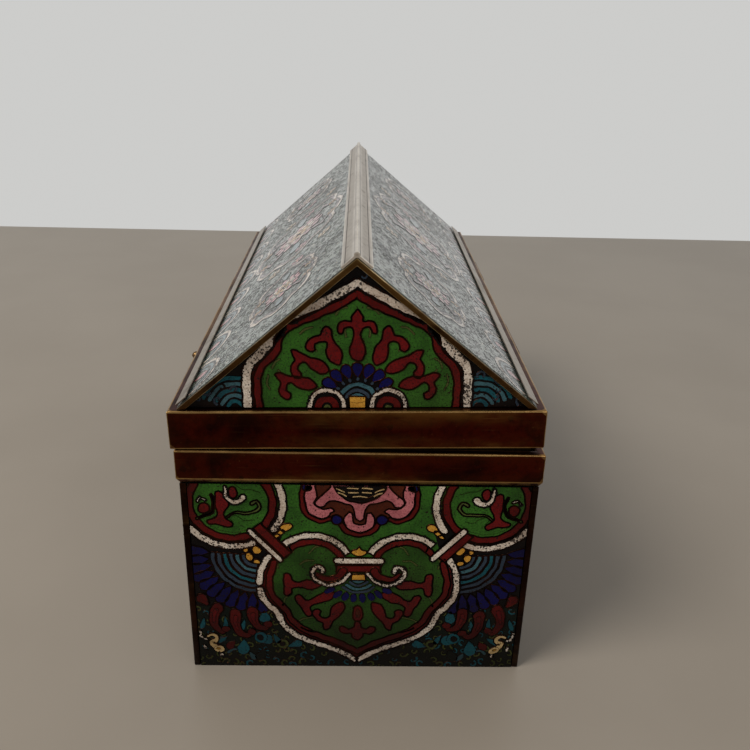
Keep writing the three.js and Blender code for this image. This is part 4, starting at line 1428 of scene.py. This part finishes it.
def lay_lid_pictures():
    shelf = LID_BAND_H / MM + 0.4
    rake = 2 / math.sin(roof_angle)
    foot = roof_half_w / MM - rake
    gable_border = [(-foot, shelf), (foot, shelf), (0, shelf + foot * math.tan(roof_angle))]
    gable_y = HALF_L - GABLE_INSET
    front = face_matrix((0, -gable_y, 0), (1, 0, 0), (0, 0, 1), lid_place)
    back = face_matrix((0, gable_y, 0), (-1, 0, 0), (0, 0, 1), lid_place)
    lay_picture("front_gable", gable_picture(False), gable_border, front, "lid", "end_enamel")
    lay_picture("back_gable", gable_picture(True), gable_border, back, "lid", "end_enamel")

    roof_border = oblong(gable_y / MM - 0.4, 4.6, slope_length / MM - 5.5)
    c, s = math.cos(roof_angle), math.sin(roof_angle)
    left = face_matrix((-roof_half_w, 0, roof_foot), (0, -1, 0), (c, 0, s), lid_place)
    right = face_matrix((roof_half_w, 0, roof_foot), (0, 1, 0), (-c, 0, s), lid_place)
    lay_picture("left_roof", roof_picture(31), roof_border, left, "lid", "roof_enamel")
    lay_picture("right_roof", roof_picture(32), roof_border, right, "lid", "roof_enamel")


# ------------------------------------------------------------------ studio

CAMERA_PLACE = (-2.25 * MM, -345.7 * MM, 215.4 * MM)
CAMERA_PITCH = math.radians(23.54)
CAMERA_YAW = math.radians(1.56)
CAMERA_ROLL = math.radians(1.5)


def make_camera():
    data = bpy.data.cameras.new("camera")
    data.lens = 38.4
    data.sensor_width = 36
    data.clip_start = 0.01
    camera = bpy.data.objects.new("camera", data)
    forward = Vector((
        math.sin(CAMERA_YAW) * math.cos(CAMERA_PITCH),
        math.cos(CAMERA_YAW) * math.cos(CAMERA_PITCH),
        -math.sin(CAMERA_PITCH),
    ))
    level = Vector((math.cos(CAMERA_YAW), -math.sin(CAMERA_YAW), 0))
    above = level.cross(forward)
    right = level * math.cos(CAMERA_ROLL) + above * math.sin(CAMERA_ROLL)
    above = right.cross(forward)
    facing = Matrix((right, above, -forward)).transposed().to_4x4()
    camera.matrix_world = Matrix.Translation(CAMERA_PLACE) @ facing
    bpy.context.scene.collection.objects.link(camera)
    bpy.context.scene.camera = camera


def make_floor():
    bm = bmesh.new()
    corners = [(-4, -4), (4, -4), (4, 0.55), (-4, 0.55)]
    bm.faces.new([bm.verts.new((x, y, 0)) for x, y in corners])
    surface = bpy.data.materials.new("floor")
    surface.use_nodes = True
    n = Nodes(surface.node_tree)
    shader = surface.node_tree.nodes["Principled BSDF"]
    place = n.add("ShaderNodeTexCoord").outputs["Object"]
    cloud = n.step(n.noise(place, 9, 4, 0.5), 0.3, 0.7)
    n.put(shader.inputs["Base Color"], n.mix(cloud, linear((141, 131, 118)), linear((136, 126, 113))))
    shader.inputs["Roughness"].default_value = 0.42
    floor = as_object("floor", bm, [surface])


def make_light(name, place, aim, size, power, colour):
    data = bpy.data.lights.new(name, "AREA")
    data.shape = "DISK"
    data.size = size
    data.energy = power
    data.color = colour
    light = bpy.data.objects.new(name, data)
    facing = (Vector(aim) - Vector(place)).to_track_quat("-Z", "Y").to_matrix().to_4x4()
    light.matrix_world = Matrix.Translation(place) @ facing
    bpy.context.scene.collection.objects.link(light)


def make_studio():
    world = bpy.data.worlds.new("studio")
    bpy.context.scene.world = world
    world.use_nodes = True
    n = Nodes(world.node_tree)
    direction = n.add("ShaderNodeTexCoord").outputs["Generated"]
    back = n.step(n.add("ShaderNodeSeparateXYZ", {"Vector": direction}).outputs["Y"], -0.9, 0.9)
    sky = world.node_tree.nodes["Background"]
    n.put(sky.inputs["Color"], n.mix(back, (0.3, 0.3, 0.31, 1), (0.76, 0.76, 0.745, 1)))
    sky.inputs["Strength"].default_value = 0.8
    make_floor()
    make_light("key", (-1.1, -0.7, 1.5), (0, 0, 0.06), 0.9, 28, (1, 0.98, 0.95))
    make_light("fill", (0.9, -1.5, 0.8), (0, 0, 0.05), 1.2, 5, (0.97, 0.98, 1))
    bpy.context.scene.view_settings.view_transform = "Standard"


make_camera()
make_studio()
make_panels()
make_metalwork()
make_all_rivets()
make_ridge_shade_lines()
lay_base_pictures()
lay_lid_pictures()
